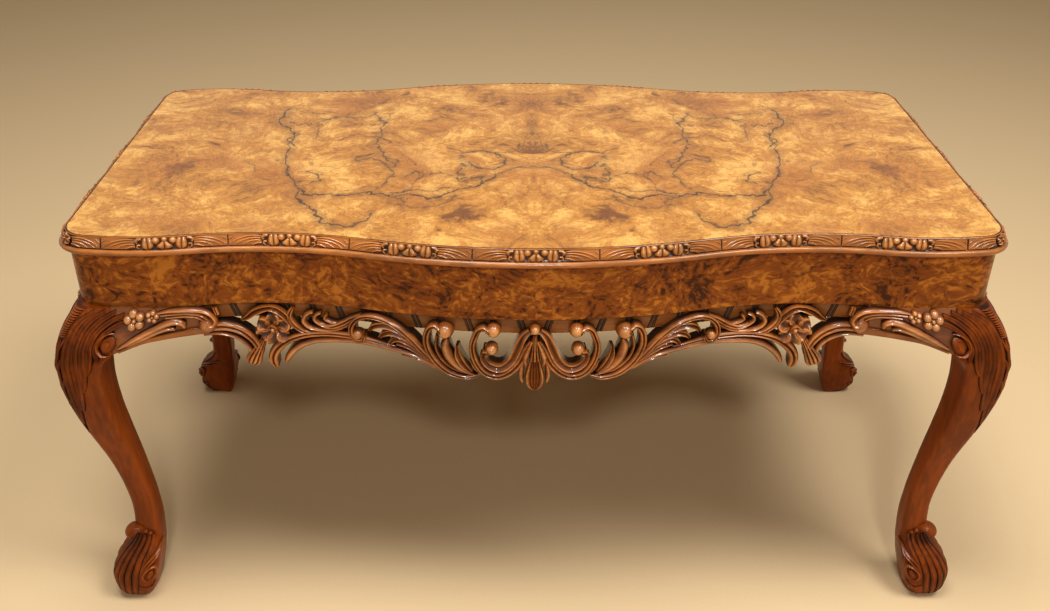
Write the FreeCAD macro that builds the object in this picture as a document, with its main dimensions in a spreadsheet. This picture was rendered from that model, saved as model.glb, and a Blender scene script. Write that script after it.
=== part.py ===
import FreeCAD
import Part
import math
import os
from FreeCAD import Vector

# Serpentine coffee table in burr walnut on four cabriole legs.
# X runs along the long side, the front is at -Y and +Z is up.
# The origin is on the floor under the middle of the top. Lengths are in millimetres.

doc = FreeCAD.newDocument("coffee_table")
sheet = doc.addObject("Spreadsheet::Sheet", "sizes")

sizes = [
    # Top: the plan of the flat field, a bow in the middle and a hollow on each side of it
    ("table_height", 522),
    ("top_half_length", 518),
    ("shoulder_depth", 230),
    ("bow_rise", 26),
    ("hollow_dip", 11),
    ("hollow_setback", 213),
    ("shoulder_setback", 78),
    ("top_corner_radius", 28),
    ("top_thickness", 20),
    ("top_veneer", 0.6),
    # Carved edge moulding round the top
    ("moulding_overhang", 11.5),
    ("moulding_land", 2),
    ("moulding_bead_radius", 3.4),
    # Frieze below the top
    ("frieze_height", 69.5),
    ("frieze_proud", 1.5),
    ("frieze_veneer", 0.6),
    ("rail_thickness", 22),
    ("corner_block_width", 53),
    ("corner_leaf_length", 90),
    # Fluted band under the frieze
    ("band_height", 21),
    ("band_recess", 4),
    ("band_thickness", 18),
    # Pierced apron under the band
    ("apron_drop", 94),
    ("apron_proud", 6),
    ("apron_thickness", 18),
    ("reed_width", 12),
    ("ball_radius", 8),
    ("carving_gap", 0.2),
    # Cabriole legs
    ("knee_sweep", 29),
    ("leg_width", 52),
    ("leg_inner_setback", 40),
    ("knee_arris", 1.5),
    ("toe_knob_radius", 10),
    ("toe_knob_height", 92),
    # Knee brackets, as long as the leg's inner face is from the apron's end
    ("long_bracket_length", 98),
    ("short_bracket_length", 67),
    ("bracket_end_height", 37.5),
    ("bracket_top_proud", 4),
    ("bracket_thickness", 16),
    # Braces, glue blocks, dowels and screws inside the frieze
    ("brace_reach", 60),
    ("brace_thickness", 24),
    ("glue_block_length", 50),
    ("glue_block_side", 18),
    ("leg_dowel_radius", 4.5),
    ("leg_dowel_length", 50),
    ("leg_dowel_inset", 18),
    ("leg_dowel_spread", 12),
    ("rail_dowel_radius", 4),
    ("rail_dowel_length", 40),
    ("dowel_gap", 0.1),
    ("screw_radius", 2),
    ("screw_head_radius", 4),
    ("screw_head_height", 2.2),
    ("screw_length", 38),
    ("screw_edge", 11),
    ("screw_along", 27),
]

for row, (name, value) in enumerate(sizes, 1):
    sheet.set(f"A{row}", name)
    sheet.set(f"B{row}", str(value))
    sheet.setAlias(f"B{row}", name)
doc.recompute()


def size(name):
    return float(sheet.get(name))


# Heights and faces that the sizes give
table_height = size("table_height")
half_length = size("top_half_length")
frieze_top = table_height - size("top_thickness")
frieze_bottom = frieze_top - size("frieze_height")
band_bottom = frieze_bottom - size("band_height")
rail_face = size("frieze_proud") - size("frieze_veneer")
rail_back = rail_face - size("rail_thickness")
shoulder_depth = size("shoulder_depth")
block_x = half_length + rail_face - size("corner_block_width")
block_y = shoulder_depth + rail_face - size("corner_block_width")
leg_inner_x = half_length - size("leg_inner_setback")
leg_inner_y = shoulder_depth - size("leg_inner_setback")
apron_length = leg_inner_x - size("long_bracket_length")
side_length = leg_inner_y - size("short_bracket_length")
# Tools that only have to pass a piece by reach this far beyond it
overrun = size("rail_thickness")
far = half_length + shoulder_depth

# The plan of one quarter of the top is five arcs, each tangent to the next
bow_radius_share = 0.611
hollow_radius_share = 0.594


def plan_arcs():
    """Centre, signed radius and normal's start and end angle of each arc, middle first."""
    bow_depth = shoulder_depth + size("bow_rise")
    hollow_depth = shoulder_depth - size("hollow_dip")
    hollow_place = half_length - size("hollow_setback")
    shoulder_place = half_length - size("shoulder_setback")
    corner = size("top_corner_radius")
    turn = 2 * math.atan2(bow_depth - hollow_depth, hollow_place)
    bow_radius = bow_radius_share * hollow_place / math.sin(turn)
    inner_hollow = (1 - bow_radius_share) * hollow_place / math.sin(turn)
    outer_run = shoulder_place - hollow_place
    outer_turn = 2 * math.atan2(shoulder_depth - hollow_depth, outer_run)
    outer_hollow = hollow_radius_share * outer_run / math.sin(outer_turn)
    shoulder = (1 - hollow_radius_share) * outer_run / math.sin(outer_turn)
    corner_x = half_length - corner
    end_turn = math.asin((corner_x - shoulder_place) / (shoulder - corner))
    corner_y = shoulder_depth - shoulder + (shoulder - corner) * math.cos(end_turn)
    return [
        (0, bow_depth - bow_radius, bow_radius, 0, turn),
        (hollow_place, hollow_depth + inner_hollow, -inner_hollow, turn, 0),
        (hollow_place, hollow_depth + outer_hollow, -outer_hollow, 0, -outer_turn),
        (shoulder_place, shoulder_depth - shoulder, shoulder, -outer_turn, end_turn),
        (corner_x, corner_y, corner, end_turn, math.pi / 2),
    ]


ARCS = plan_arcs()


def arc_point(arc, angle, offset, side=(1, 1), height=0):
    """Point of a plan arc moved out by offset, in the quarter given by side's signs."""
    centre_x, centre_y, radius, _, _ = arc
    reach = radius + offset
    x = centre_x + reach * math.sin(angle)
    y = centre_y + reach * math.cos(angle)
    return Vector(side[0] * x, side[1] * y, height)


def arc_edge(arc, offset, side, height, start=None, end=None):
    first = arc[3] if start is None else start
    last = arc[4] if end is None else end
    middle = (first + last) / 2
    points = [arc_point(arc, angle, offset, side, height) for angle in (first, middle, last)]
    return Part.Arc(*points).toShape()


def plan_depth(x, offset=0):
    """Distance of the long side from the middle plane at x, up to the end of the shoulder."""
    for centre_x, centre_y, radius, first, last in ARCS[:4]:
        reach = radius + offset
        end_x = centre_x + reach * math.sin(last)
        if x <= end_x + size("carving_gap"):
            rise = math.sqrt(max(0, reach * reach - (x - centre_x) ** 2))
            return centre_y + math.copysign(rise, reach)
    return centre_y


def closed_face(edges):
    return Part.Face(Part.Wire(Part.__sortEdges__(edges)))


def plan_face(offset, height):
    """The whole plan moved out by offset, as a level face."""
    edges = []
    for side in ((1, 1), (1, -1), (-1, -1), (-1, 1)):
        edges += [arc_edge(arc, offset, side, height) for arc in ARCS]
    for sign in (1, -1):
        ends = [arc_point(ARCS[4], ARCS[4][4], offset, (sign, way), height) for way in (1, -1)]
        edges.append(Part.makeLine(*ends))
    return closed_face(edges)


def field(offset, low, high):
    """Solid of the whole plan moved out by offset, between two heights."""
    return plan_face(offset, low).extrude(Vector(0, 0, high - low))


def long_slab(way, inner, outer, low, high, reach):
    """Serpentine board of one long side (way is -1 for the front), as far as x = reach."""
    edges = []
    for offset in (inner, outer):
        for sign in (1, -1):
            edges += [arc_edge(arc, offset, (sign, way), low) for arc in ARCS[:4]]
    for sign in (1, -1):
        ends = [arc_point(ARCS[3], ARCS[3][4], o, (sign, way), low) for o in (inner, outer)]
        edges.append(Part.makeLine(*ends))
    slab = closed_face(edges).extrude(Vector(0, 0, high - low))
    cutter = block((-reach, -far, low), (reach, far, high))
    return slab.common(cutter)


def block(lowest, highest):
    span = [b - a for a, b in zip(lowest, highest)]
    return Part.makeBox(*span, Vector(*lowest))


def signed_block(side, lowest, highest):
    """Box given in the +X +Y quarter and moved to the quarter of side."""
    low = [min(s * a, s * b) for s, a, b in zip((*side, 1), lowest, highest)]
    high = [max(s * a, s * b) for s, a, b in zip((*side, 1), lowest, highest)]
    return block(low, high)


PIECES = []


def keep(name, shape):
    """A sub-part whose shape the source works out itself."""
    if shape.ShapeType == "Compound" and len(shape.Solids) == 1:
        shape = shape.Solids[0]
    piece = doc.addObject("Part::Feature", name)
    piece.Label = name
    piece.Shape = shape
    piece.Placement = FreeCAD.Placement()
    PIECES.append(piece)
    return piece


def bound(kind, name, **expressions):
    """A document object whose properties are bound to cells of the sheet."""
    thing = doc.addObject(kind, name)
    thing.Label = name
    for key, expression in expressions.items():
        thing.setExpression(key.replace("__", "."), expression)
    return thing


def cut_from(name, base, tool):
    """Sub-part made of a base object with a tool object's holes in it."""
    piece = doc.addObject("Part::Cut", name)
    piece.Label = name
    piece.Base = base
    piece.Tool = tool
    PIECES.append(piece)
    return piece


def group(name, members):
    compound = doc.addObject("Part::Compound", name)
    compound.Label = name
    compound.Links = members
    return compound


CORNERS = {
    "front_left": (-1, -1),
    "front_right": (1, -1),
    "back_left": (-1, 1),
    "back_right": (1, 1),
}
LONG_SIDES = {"front": -1, "back": 1}
SHORT_SIDES = {"left": -1, "right": 1}
# The same expressions as the heights above, for the objects bound to the sheet
TOP = "sizes.table_height - sizes.top_thickness"
FRIEZE = f"{TOP} - sizes.frieze_height"
BAND = f"{FRIEZE} - sizes.band_height"
RAIL_OUT = "sizes.top_half_length + sizes.frieze_proud - sizes.frieze_veneer"
BLOCK_Y = (
    "sizes.shoulder_depth + sizes.frieze_proud - sizes.frieze_veneer"
    " - sizes.corner_block_width"
)
SIDE_LENGTH = "sizes.shoulder_depth - sizes.leg_inner_setback - sizes.short_bracket_length"

# Top screws: countersunk, through the braces and up into the core
screw_tip = frieze_top - size("brace_thickness") + size("screw_length")


def screw_profile(body, label, gap):
    """Half section of a countersunk screw standing point up, for a revolved body."""
    sketch = body.newObject("Sketcher::SketchObject", label)
    plane = [f for f in body.Origin.OriginFeatures if f.Role == "XZ_Plane"][0]
    sketch.AttachmentSupport = (plane, [""])
    sketch.MapMode = "FlatFace"
    radius = size("screw_radius") + gap
    head = size("screw_head_radius") + gap
    neck = size("screw_head_height")
    length = size("screw_length") + gap
    corners = [
        Vector(0, 0, 0),
        Vector(head, 0, 0),
        Vector(radius, neck, 0),
        Vector(radius, length - radius, 0),
        Vector(0, length, 0),
    ]
    for start, end in zip(corners, corners[1:] + corners[:1]):
        sketch.addGeometry(Part.LineSegment(start, end), False)
    return sketch


def screw_body(label, gap):
    body = doc.addObject("PartDesign::Body", label)
    sketch = screw_profile(body, f"{label}_section", gap)
    turned = body.newObject("PartDesign::Revolution", f"{label}_turned")
    turned.Profile = sketch
    turned.ReferenceAxis = (sketch, ["V_Axis"])
    turned.Angle = 360
    doc.recompute()
    return body


screw = screw_body("screw_form", 0)
screw_hole = screw_body("screw_hole_form", size("dowel_gap"))
brace_rail_x = half_length + rail_back
brace_rail_y = plan_depth(block_x - size("screw_along"), rail_back)
screw_places = []
for side in CORNERS.values():
    along_long = (block_x - size("screw_along"), brace_rail_y - size("screw_edge"))
    along_short = (brace_rail_x - size("screw_edge"), block_y - size("screw_along"))
    for x, y in (along_long, along_short):
        foot = frieze_top - size("brace_thickness")
        screw_places.append(Vector(side[0] * x, side[1] * y, foot))


def repeated(shape, places):
    copies = []
    for place in places:
        copy = shape.copy()
        copy.Placement = FreeCAD.Placement(place, FreeCAD.Rotation())
        copies.append(copy)
    return Part.makeCompound(copies)


keep("top_screws", repeated(screw.Shape, screw_places))
screw_holes = repeated(screw_hole.Shape, screw_places)

# Top: a core board with two book-matched veneer leaves laid on it
core_plan = doc.addObject("Part::Feature", "core_plan")
core_plan.Shape = plan_face(0, 0)
core_board = bound(
    "Part::Extrusion",
    "core_board",
    LengthFwd="sizes.top_thickness - sizes.top_veneer",
    Placement__Base__z=TOP,
)
core_board.Base = core_plan
core_board.DirMode = "Custom"
core_board.Dir = Vector(0, 0, 1)
core_board.Solid = True
core_holes = doc.addObject("Part::Feature", "core_holes")
core_holes.Shape = screw_holes
cut_from("top_core", core_board, core_holes)
top_sheet = field(0, table_height - size("top_veneer"), table_height)
for label, sign in SHORT_SIDES.items():
    half = signed_block((sign, 1), (0, -far, 0), (far, far, table_height + overrun))
    keep(f"top_veneer_{label}", top_sheet.common(half))


# Carved edge moulding: a sloping slip with a bead below, mitred at the corners
def moulding_section(start, outward):
    """Closed section of the moulding, at a point of its path and square to it."""
    thickness = size("top_thickness")
    bead = size("moulding_bead_radius")
    land = size("moulding_land")
    overhang = size("moulding_overhang")
    neck = overhang - bead
    bead_top = 2 * bead - thickness

    def at(out, up):
        return start + outward * out + Vector(0, 0, up)

    slope_share = 0.62
    middle = at(land + (neck - land) * slope_share, bead_top * (1 - slope_share))
    slope = Part.Arc(at(land, 0), middle, at(neck, bead_top)).toShape()
    round_bead = Part.Arc(
        at(neck, bead_top), at(overhang, bead - thickness), at(neck, -thickness)
    ).toShape()
    lines = [
        Part.makeLine(at(0, -thickness), at(0, 0)),
        Part.makeLine(at(0, 0), at(land, 0)),
        Part.makeLine(at(neck, -thickness), at(0, -thickness)),
    ]
    return Part.Wire(Part.__sortEdges__(lines + [slope, round_bead]))


mitre = math.pi / 4


def moulding_arc(arc, side, start=None, end=None):
    """Stretch of the moulding along one plan arc."""
    first = arc[3] if start is None else start
    last = arc[4] if end is None else end
    outward = Vector(side[0] * math.sin(first), side[1] * math.cos(first), 0)
    section = moulding_section(arc_point(arc, first, 0, side, table_height), outward)
    centre = Vector(side[0] * arc[0], side[1] * arc[1], 0)
    turn = -math.degrees(last - first) * side[0] * side[1]
    return Part.Face(section).revolve(centre, Vector(0, 0, 1), turn)


def joined(stretches):
    return stretches[0].multiFuse(stretches[1:]).removeSplitter()


corner_arc = ARCS[4]
for label, way in LONG_SIDES.items():
    stretches = []
    for sign in (1, -1):
        side = (sign, way)
        stretches += [moulding_arc(arc, side) for arc in ARCS[:4]]
        stretches.append(moulding_arc(corner_arc, side, corner_arc[3], mitre))
    keep(f"edge_moulding_{label}", joined(stretches))
for label, sign in SHORT_SIDES.items():
    stretches = [
        moulding_arc(corner_arc, (sign, way), mitre, corner_arc[4]) for way in (1, -1)
    ]
    start = arc_point(corner_arc, corner_arc[4], 0, (sign, 1), table_height)
    section = Part.Face(moulding_section(start, Vector(sign, 0, 0)))
    stretches.append(section.extrude(Vector(0, -2 * start.y, 0)))
    keep(f"edge_moulding_{label}", joined(stretches))

# Dowels: two between each rail and corner block, two between each block and leg
dowel_height_shares = (0.3, 0.7)
rail_middle = rail_face - size("rail_thickness") / 2
rail_dowels = []
rail_holes = []
leg_dowels = []
leg_holes = []


def dowel(name, radius, length, middle, axis, holes):
    """Dowel bound to the sheet, centred at a point, and the hole that clears it."""
    rod = bound("Part::Cylinder", name, Radius=f"sizes.{radius}", Height=f"sizes.{length}")
    half = size(length) / 2
    turn = FreeCAD.Rotation(Vector(0, 0, 1), axis)
    rod.Placement = FreeCAD.Placement(middle - axis * half, turn)
    gap = size("dowel_gap")
    start = middle - axis * (half + gap)
    holes.append(Part.makeCylinder(size(radius) + gap, 2 * (half + gap), start, axis))
    return rod


for label, side in CORNERS.items():
    for number, share in enumerate(dowel_height_shares, 1):
        height = frieze_bottom + share * size("frieze_height")
        depth = plan_depth(block_x, rail_middle)
        long_end = Vector(side[0] * block_x, side[1] * depth, height)
        short_end = Vector(side[0] * (half_length + rail_middle), side[1] * block_y, height)
        for way, middle, axis in (
            ("long", long_end, Vector(side[0], 0, 0)),
            ("short", short_end, Vector(0, side[1], 0)),
        ):
            name = f"rail_dowel_{way}_{label}_{number}"
            rail_dowels.append(
                dowel(name, "rail_dowel_radius", "rail_dowel_length", middle, axis, rail_holes)
            )
    for number, way in enumerate((1, -1), 1):
        step = way * size("leg_dowel_spread") / 2
        x = half_length - size("leg_dowel_inset") + step
        y = shoulder_depth - size("leg_dowel_inset") - step
        middle = Vector(side[0] * x, side[1] * y, frieze_bottom)
        name = f"leg_dowel_{label}_{number}"
        leg_dowels.append(
            dowel(name, "leg_dowel_radius", "leg_dowel_length", middle, Vector(0, 0, 1), leg_holes)
        )
PIECES.append(group("rail_dowels", rail_dowels))
PIECES.append(group("leg_dowels", leg_dowels))
rail_hole_set = Part.makeCompound(rail_holes)
leg_hole_set = Part.makeCompound(leg_holes)
hole_object = doc.addObject("Part::Feature", "rail_hole_set")
hole_object.Shape = rail_hole_set

# Frieze: four rails dowelled to solid corner blocks
for label, way in LONG_SIDES.items():
    rail = long_slab(way, rail_back, rail_face, frieze_bottom, frieze_top, block_x)
    keep(f"frieze_rail_{label}", rail.cut(rail_hole_set))
for label, sign in SHORT_SIDES.items():
    out = RAIL_OUT if sign > 0 else f"-({RAIL_OUT})"
    shift = " - sizes.rail_thickness" if sign > 0 else ""
    board = bound(
        "Part::Box",
        f"rail_board_{label}",
        Length="sizes.rail_thickness",
        Width=f"2 * ({BLOCK_Y})",
        Height="sizes.frieze_height",
        Placement__Base__x=f"{out}{shift}",
        Placement__Base__y=f"-({BLOCK_Y})",
        Placement__Base__z=FRIEZE,
    )
    cut_from(f"frieze_rail_{label}", board, hole_object)
frieze_core = field(rail_face, frieze_bottom, frieze_top)
for label, side in CORNERS.items():
    corner = signed_block(side, (block_x, block_y, frieze_bottom), (far, far, frieze_top))
    body = frieze_core.common(corner)
    keep(f"corner_block_{label}", body.cut(rail_hole_set).cut(leg_hole_set))

# Burr veneer on the frieze: two leaves on each long side, one on each short side and corner
frieze_skin = field(size("frieze_proud"), frieze_bottom, frieze_top).cut(frieze_core)
leaf_x = half_length - size("corner_leaf_length")
for end, way in LONG_SIDES.items():
    for hand, sign in SHORT_SIDES.items():
        leaf = signed_block((sign, way), (0, block_y, frieze_bottom), (leaf_x, far, frieze_top))
        keep(f"frieze_veneer_{end}_{hand}", frieze_skin.common(leaf))
for label, sign in SHORT_SIDES.items():
    low = (block_x, -block_y, frieze_bottom)
    leaf = signed_block((sign, 1), low, (far, block_y, frieze_top))
    keep(f"frieze_veneer_{label}", frieze_skin.common(leaf))
for label, side in CORNERS.items():
    leaf = signed_block(side, (leaf_x, block_y, frieze_bottom), (far, far, frieze_top))
    keep(f"frieze_veneer_corner_{label}", frieze_skin.common(leaf))

# Corner braces: notched round the blocks and screwed up into the core
brace_low = frieze_top - size("brace_thickness")
reach_x = block_x - size("brace_reach")
for label, side in CORNERS.items():
    plan = [
        (reach_x, far),
        (block_x, far),
        (block_x, block_y),
        (brace_rail_x, block_y),
        (brace_rail_x, block_y - size("brace_reach")),
        (reach_x, plan_depth(reach_x, rail_back)),
    ]
    points = [Vector(side[0] * x, side[1] * y, brace_low) for x, y in plan]
    prism = Part.Face(Part.makePolygon(points + points[:1]))
    prism = prism.extrude(Vector(0, 0, size("brace_thickness")))
    brace = prism.common(field(rail_back, brace_low, frieze_top))
    keep(f"corner_brace_{label}", brace.cut(screw_holes))

# Glue blocks in the angle between the rails and the core
long_block_shares = (0.2, 0.6)
short_block_shares = (0.45,)
block_low = frieze_top - size("glue_block_side")
block_half = size("glue_block_length") / 2
glue_blocks = []
for way in LONG_SIDES.values():
    strip = long_slab(
        way, rail_back - size("glue_block_side"), rail_back, block_low, frieze_top, block_x
    )
    for sign in (1, -1):
        for share in long_block_shares:
            x = sign * share * half_length
            low = (x - block_half, -far, block_low)
            glue_blocks.append(strip.common(block(low, (x + block_half, far, frieze_top))))
for sign in (1, -1):
    for way in (1, -1):
        for share in short_block_shares:
            y = share * block_y
            low = (brace_rail_x - size("glue_block_side"), y - block_half, block_low)
            high = (brace_rail_x, y + block_half, frieze_top)
            glue_blocks.append(signed_block((sign, way), low, high))
keep("glue_blocks", Part.makeCompound(glue_blocks))

# Fluted band: a slip under each frieze rail, between the knee brackets
band_face = -size("band_recess")
band_back = band_face - size("band_thickness")
for label, way in LONG_SIDES.items():
    band = long_slab(way, band_back, band_face, band_bottom, frieze_bottom, apron_length)
    keep(f"band_{label}", band)
for label, sign in SHORT_SIDES.items():
    near = "sizes.top_half_length - sizes.band_recess"
    place = f"{near} - sizes.band_thickness" if sign > 0 else f"-({near})"
    piece = bound(
        "Part::Box",
        f"band_{label}",
        Length="sizes.band_thickness",
        Width=f"2 * ({SIDE_LENGTH})",
        Height="sizes.band_height",
        Placement__Base__x=place,
        Placement__Base__y=f"-({SIDE_LENGTH})",
        Placement__Base__z=BAND,
    )
    PIECES.append(piece)

# Pierced apron. Each stroke follows a scroll of the carving: shares of the apron's half
# length out from the middle, shares of its drop down from the frieze, and shares of the
# width of a reed. The cartouche fills a share of a long side and the whole of a short one.
cartouche_share = 0.3237
cartouche_stroke_shares = {
    "drop": [(0, 0.15, 1.0), (0, 0.42, 1.4), (0, 0.62, 1.9), (0, 0.84, 2.3), (0, 0.985, 1.2)],
    "inner_scroll": [
        (0.010, 0.20, 0.9),
        (0.038, 0.37, 1.1),
        (0.055, 0.58, 1.1),
        (0.080, 0.72, 1.0),
        (0.112, 0.775, 1.0),
        (0.145, 0.69, 0.95),
        (0.163, 0.55, 0.85),
        (0.171, 0.35, 0.8),
        (0.163, 0.18, 0.7),
        (0.144, 0.09, 0.55),
        (0.127, 0.11, 0.45),
    ],
    "inner_curl": [
        (0.045, 0.40, 0.7),
        (0.068, 0.54, 0.75),
        (0.092, 0.64, 0.75),
        (0.120, 0.645, 0.7),
        (0.140, 0.56, 0.65),
        (0.140, 0.45, 0.5),
    ],
    "outer_scroll": [
        (0.118, 0.762, 0.6),
        (0.150, 0.785, 0.6),
        (0.185, 0.81, 0.6),
        (0.232, 0.79, 0.8),
        (0.266, 0.71, 1.0),
        (0.292, 0.58, 1.1),
        (0.308, 0.42, 1.15),
        (0.313, 0.26, 1.0),
        (0.302, 0.13, 0.75),
        (0.279, 0.08, 0.55),
        (0.263, 0.12, 0.45),
    ],
    "bud": [(0.262, 0.38, 0.5), (0.264, 0.49, 0.8), (0.251, 0.62, 0.95), (0.222, 0.76, 0.8)],
}
cartouche_ball_shares = {
    "bead": (0, 0.13, 0.68),
    "inner_ball": (0.124, 0.165, 1),
    "curl_ball": (0.126, 0.41, 0.94),
    "outer_ball": (0.266, 0.19, 1.06),
}
wing_stroke_shares = {
    "acanthus": [
        (0.274, 0.675, 0.4),
        (0.333, 0.52, 1.3),
        (0.370, 0.385, 2.1),
        (0.415, 0.25, 2.0),
        (0.456, 0.14, 1.3),
        (0.492, 0.10, 0.75),
        (0.525, 0.13, 0.7),
        (0.546, 0.23, 0.6),
        (0.544, 0.33, 0.6),
        (0.528, 0.375, 0.5),
    ],
    "border": [
        (0.291, 0.585, 0.4),
        (0.400, 0.52, 0.6),
        (0.480, 0.475, 0.9),
        (0.560, 0.44, 1.0),
        (0.640, 0.445, 1.05),
        (0.705, 0.50, 1.1),
        (0.758, 0.60, 1.15),
        (0.792, 0.74, 1.1),
        (0.790, 0.90, 0.7),
    ],
    "leaf": [
        (0.515, 0.16, 0.5),
        (0.555, 0.21, 0.6),
        (0.605, 0.265, 1.1),
        (0.655, 0.265, 1.3),
        (0.690, 0.19, 0.9),
        (0.676, 0.10, 0.5),
    ],
    "stem": [
        (0.597, 0.405, 0.5),
        (0.660, 0.40, 0.6),
        (0.703, 0.345, 0.6),
        (0.725, 0.23, 0.6),
        (0.720, 0.11, 0.6),
    ],
    "hood": [
        (0.712, 0.32, 0.5),
        (0.738, 0.22, 0.55),
        (0.768, 0.12, 0.7),
        (0.810, 0.105, 0.85),
        (0.862, 0.16, 0.5),
    ],
    "arch": [
        (1, 0.325, 1.15),
        (0.965, 0.325, 1.15),
        (0.925, 0.34, 1.1),
        (0.888, 0.40, 1.1),
        (0.860, 0.50, 1.1),
        (0.846, 0.63, 1.15),
        (0.848, 0.78, 0.7),
    ],
    "tail": [
        (0.766, 0.62, 1.0),
        (0.798, 0.585, 1.3),
        (0.820, 0.66, 1.6),
        (0.834, 0.78, 1.5),
        (0.846, 0.88, 0.8),
    ],
}
wing_ball_shares = {"volute": (0.520, 0.38, 0.95), "flower": (0.789, 0.356, 2.35)}
apron_drop = size("apron_drop")


def pattern_point(run, along_share, down_share):
    return Vector(along_share * run, 0, frieze_bottom - down_share * apron_drop)


def stroke_face(run, shares):
    """Flat band along a stroke, in the XZ plane, with smooth edges."""
    middle = [pattern_point(run, along, down) for along, down, _ in shares]
    spine = Part.BSplineCurve()
    spine.interpolate(middle)
    left = []
    right = []
    for point, (_, _, width_share) in zip(middle, shares):
        tangent = spine.tangent(spine.parameter(point))[0]
        aside = Vector(-tangent.z, 0, tangent.x) * (width_share * size("reed_width") / 2)
        left.append(point + aside)
        right.append(point - aside)
    edges = []
    for points in (left, right):
        edge = Part.BSplineCurve()
        edge.interpolate(points)
        edges.append(edge.toShape())
    edges.append(Part.makeLine(left[0], right[0]))
    edges.append(Part.makeLine(left[-1], right[-1]))
    return closed_face(edges)


def ball_face(run, shares):
    along, down, radius_share = shares
    centre = pattern_point(run, along, down)
    circle = Part.makeCircle(radius_share * size("ball_radius"), centre, Vector(0, 1, 0))
    return Part.Face(Part.Wire(circle))


def pattern(run, strokes, balls):
    """One half of a pierced pattern as a flat face in the XZ plane, for a half length run."""
    faces = [stroke_face(run, shares) for shares in strokes.values()]
    faces += [ball_face(run, shares) for shares in balls.values()]
    return faces[0].multiFuse(faces[1:]).removeSplitter()


def both_halves(half, axis):
    return half.fuse(half.mirror(Vector(0, 0, 0), axis)).removeSplitter()


apron_face = size("apron_proud")
apron_back = apron_face - size("apron_thickness")
apron_lip = band_face + size("carving_gap")
apron_low = frieze_bottom - apron_drop - overrun
whole_pattern = pattern(
    apron_length,
    {**cartouche_stroke_shares, **wing_stroke_shares},
    {**cartouche_ball_shares, **wing_ball_shares},
)
board = long_slab(1, apron_back, apron_face, apron_low, band_bottom, apron_length)
lip = long_slab(1, apron_lip, apron_face, band_bottom, frieze_bottom, apron_length)
half_board = board.fuse(lip).common(block((0, 0, 0), (far, far, frieze_bottom)))
half_apron = half_board.common(whole_pattern.extrude(Vector(0, far, 0)))
long_apron = both_halves(half_apron, Vector(1, 0, 0))
keep("apron_back", long_apron)
keep("apron_front", long_apron.mirror(Vector(0, 0, 0), Vector(0, 1, 0)))
side_run = side_length / cartouche_share
cartouche = pattern(side_run, cartouche_stroke_shares, cartouche_ball_shares)
cartouche.rotate(Vector(0, 0, 0), Vector(0, 0, 1), 90)
side_face = half_length + apron_face
board = block(
    (half_length + apron_back, 0, apron_low), (side_face, side_length, band_bottom)
)
lip = block((half_length + apron_lip, 0, band_bottom), (side_face, side_length, frieze_bottom))
half_apron = board.fuse(lip).common(cartouche.extrude(Vector(far, 0, 0)))
short_apron = both_halves(half_apron, Vector(0, 1, 0))
keep("apron_right", short_apron)
keep("apron_left", short_apron.mirror(Vector(0, 0, 0), Vector(1, 0, 0)))

# Cabriole legs. Each section is a rounded square: its height as a share of the leg's, how
# far its outer faces stand out from the top's edge as a share of the knee's sweep, its
# width and its corner radius as shares of the leg's width.
leg_section_shares = [
    (0.000, 0.59, 0.60, 0.24),
    (0.015, 0.79, 0.73, 0.28),
    (0.032, 0.93, 0.88, 0.34),
    (0.058, 0.98, 1.10, 0.40),
    (0.095, 0.98, 1.20, 0.44),
    (0.120, 0.84, 1.14, 0.42),
    (0.146, 0.64, 1.05, 0.38),
    (0.171, 0.33, 0.88, 0.31),
    (0.192, 0.07, 0.74, 0.23),
    (0.215, -0.07, 0.66, 0.18),
    (0.243, -0.16, 0.61, 0.15),
    (0.271, -0.22, 0.57, 0.14),
    (0.305, -0.23, 0.55, 0.13),
    (0.347, -0.19, 0.56, 0.13),
    (0.416, -0.08, 0.58, 0.13),
    (0.499, 0.14, 0.64, 0.15),
    (0.587, 0.45, 0.74, 0.17),
    (0.671, 0.74, 0.84, 0.19),
    (0.756, 0.95, 0.93, 0.20),
    (0.809, 1.00, 0.98, 0.20),
    (0.837, 1.00, 1.01, 0.20),
    (0.869, 0.98, 1.01, 0.20),
]
knee_section_shares = [
    (0.856, 1.00, 0.20),
    (0.904, 0.87, 0.25),
    (0.950, 0.61, 0.32),
    (0.978, 0.36, 0.36),
    (1.000, 0.10, 0.40),
]
leg_width = size("leg_width")
knee_sweep = size("knee_sweep")


def rounded_square(low_x, low_y, high_x, high_y, height, radius, inner_radius):
    """Rounded square in a level plane, as one wire of lines and arcs: the first radius is
    for its outer corner and the second for the other three."""
    corners = [
        (high_x, high_y, 1, 1),
        (low_x, high_y, -1, 1),
        (low_x, low_y, -1, -1),
        (high_x, low_y, 1, -1),
    ]
    edges = []
    stops = []
    for number, (x, y, out_x, out_y) in enumerate(corners):
        bend = inner_radius if number else radius
        centre_x = x - out_x * bend
        centre_y = y - out_y * bend
        lean = bend * math.sqrt(0.5)
        along_x = Vector(centre_x + out_x * bend, centre_y, height)
        middle = Vector(centre_x + out_x * lean, centre_y + out_y * lean, height)
        along_y = Vector(centre_x, centre_y + out_y * bend, height)
        ends = (along_x, along_y) if number % 2 == 0 else (along_y, along_x)
        edges.append(Part.Arc(ends[0], middle, ends[1]).toShape())
        stops.append(ends)
    for number, ends in enumerate(stops):
        following = stops[(number + 1) % len(stops)]
        edges.append(Part.makeLine(ends[1], following[0]))
    order = [edges[0], edges[4], edges[1], edges[5], edges[2], edges[6], edges[3], edges[7]]
    return Part.Wire(order)


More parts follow.
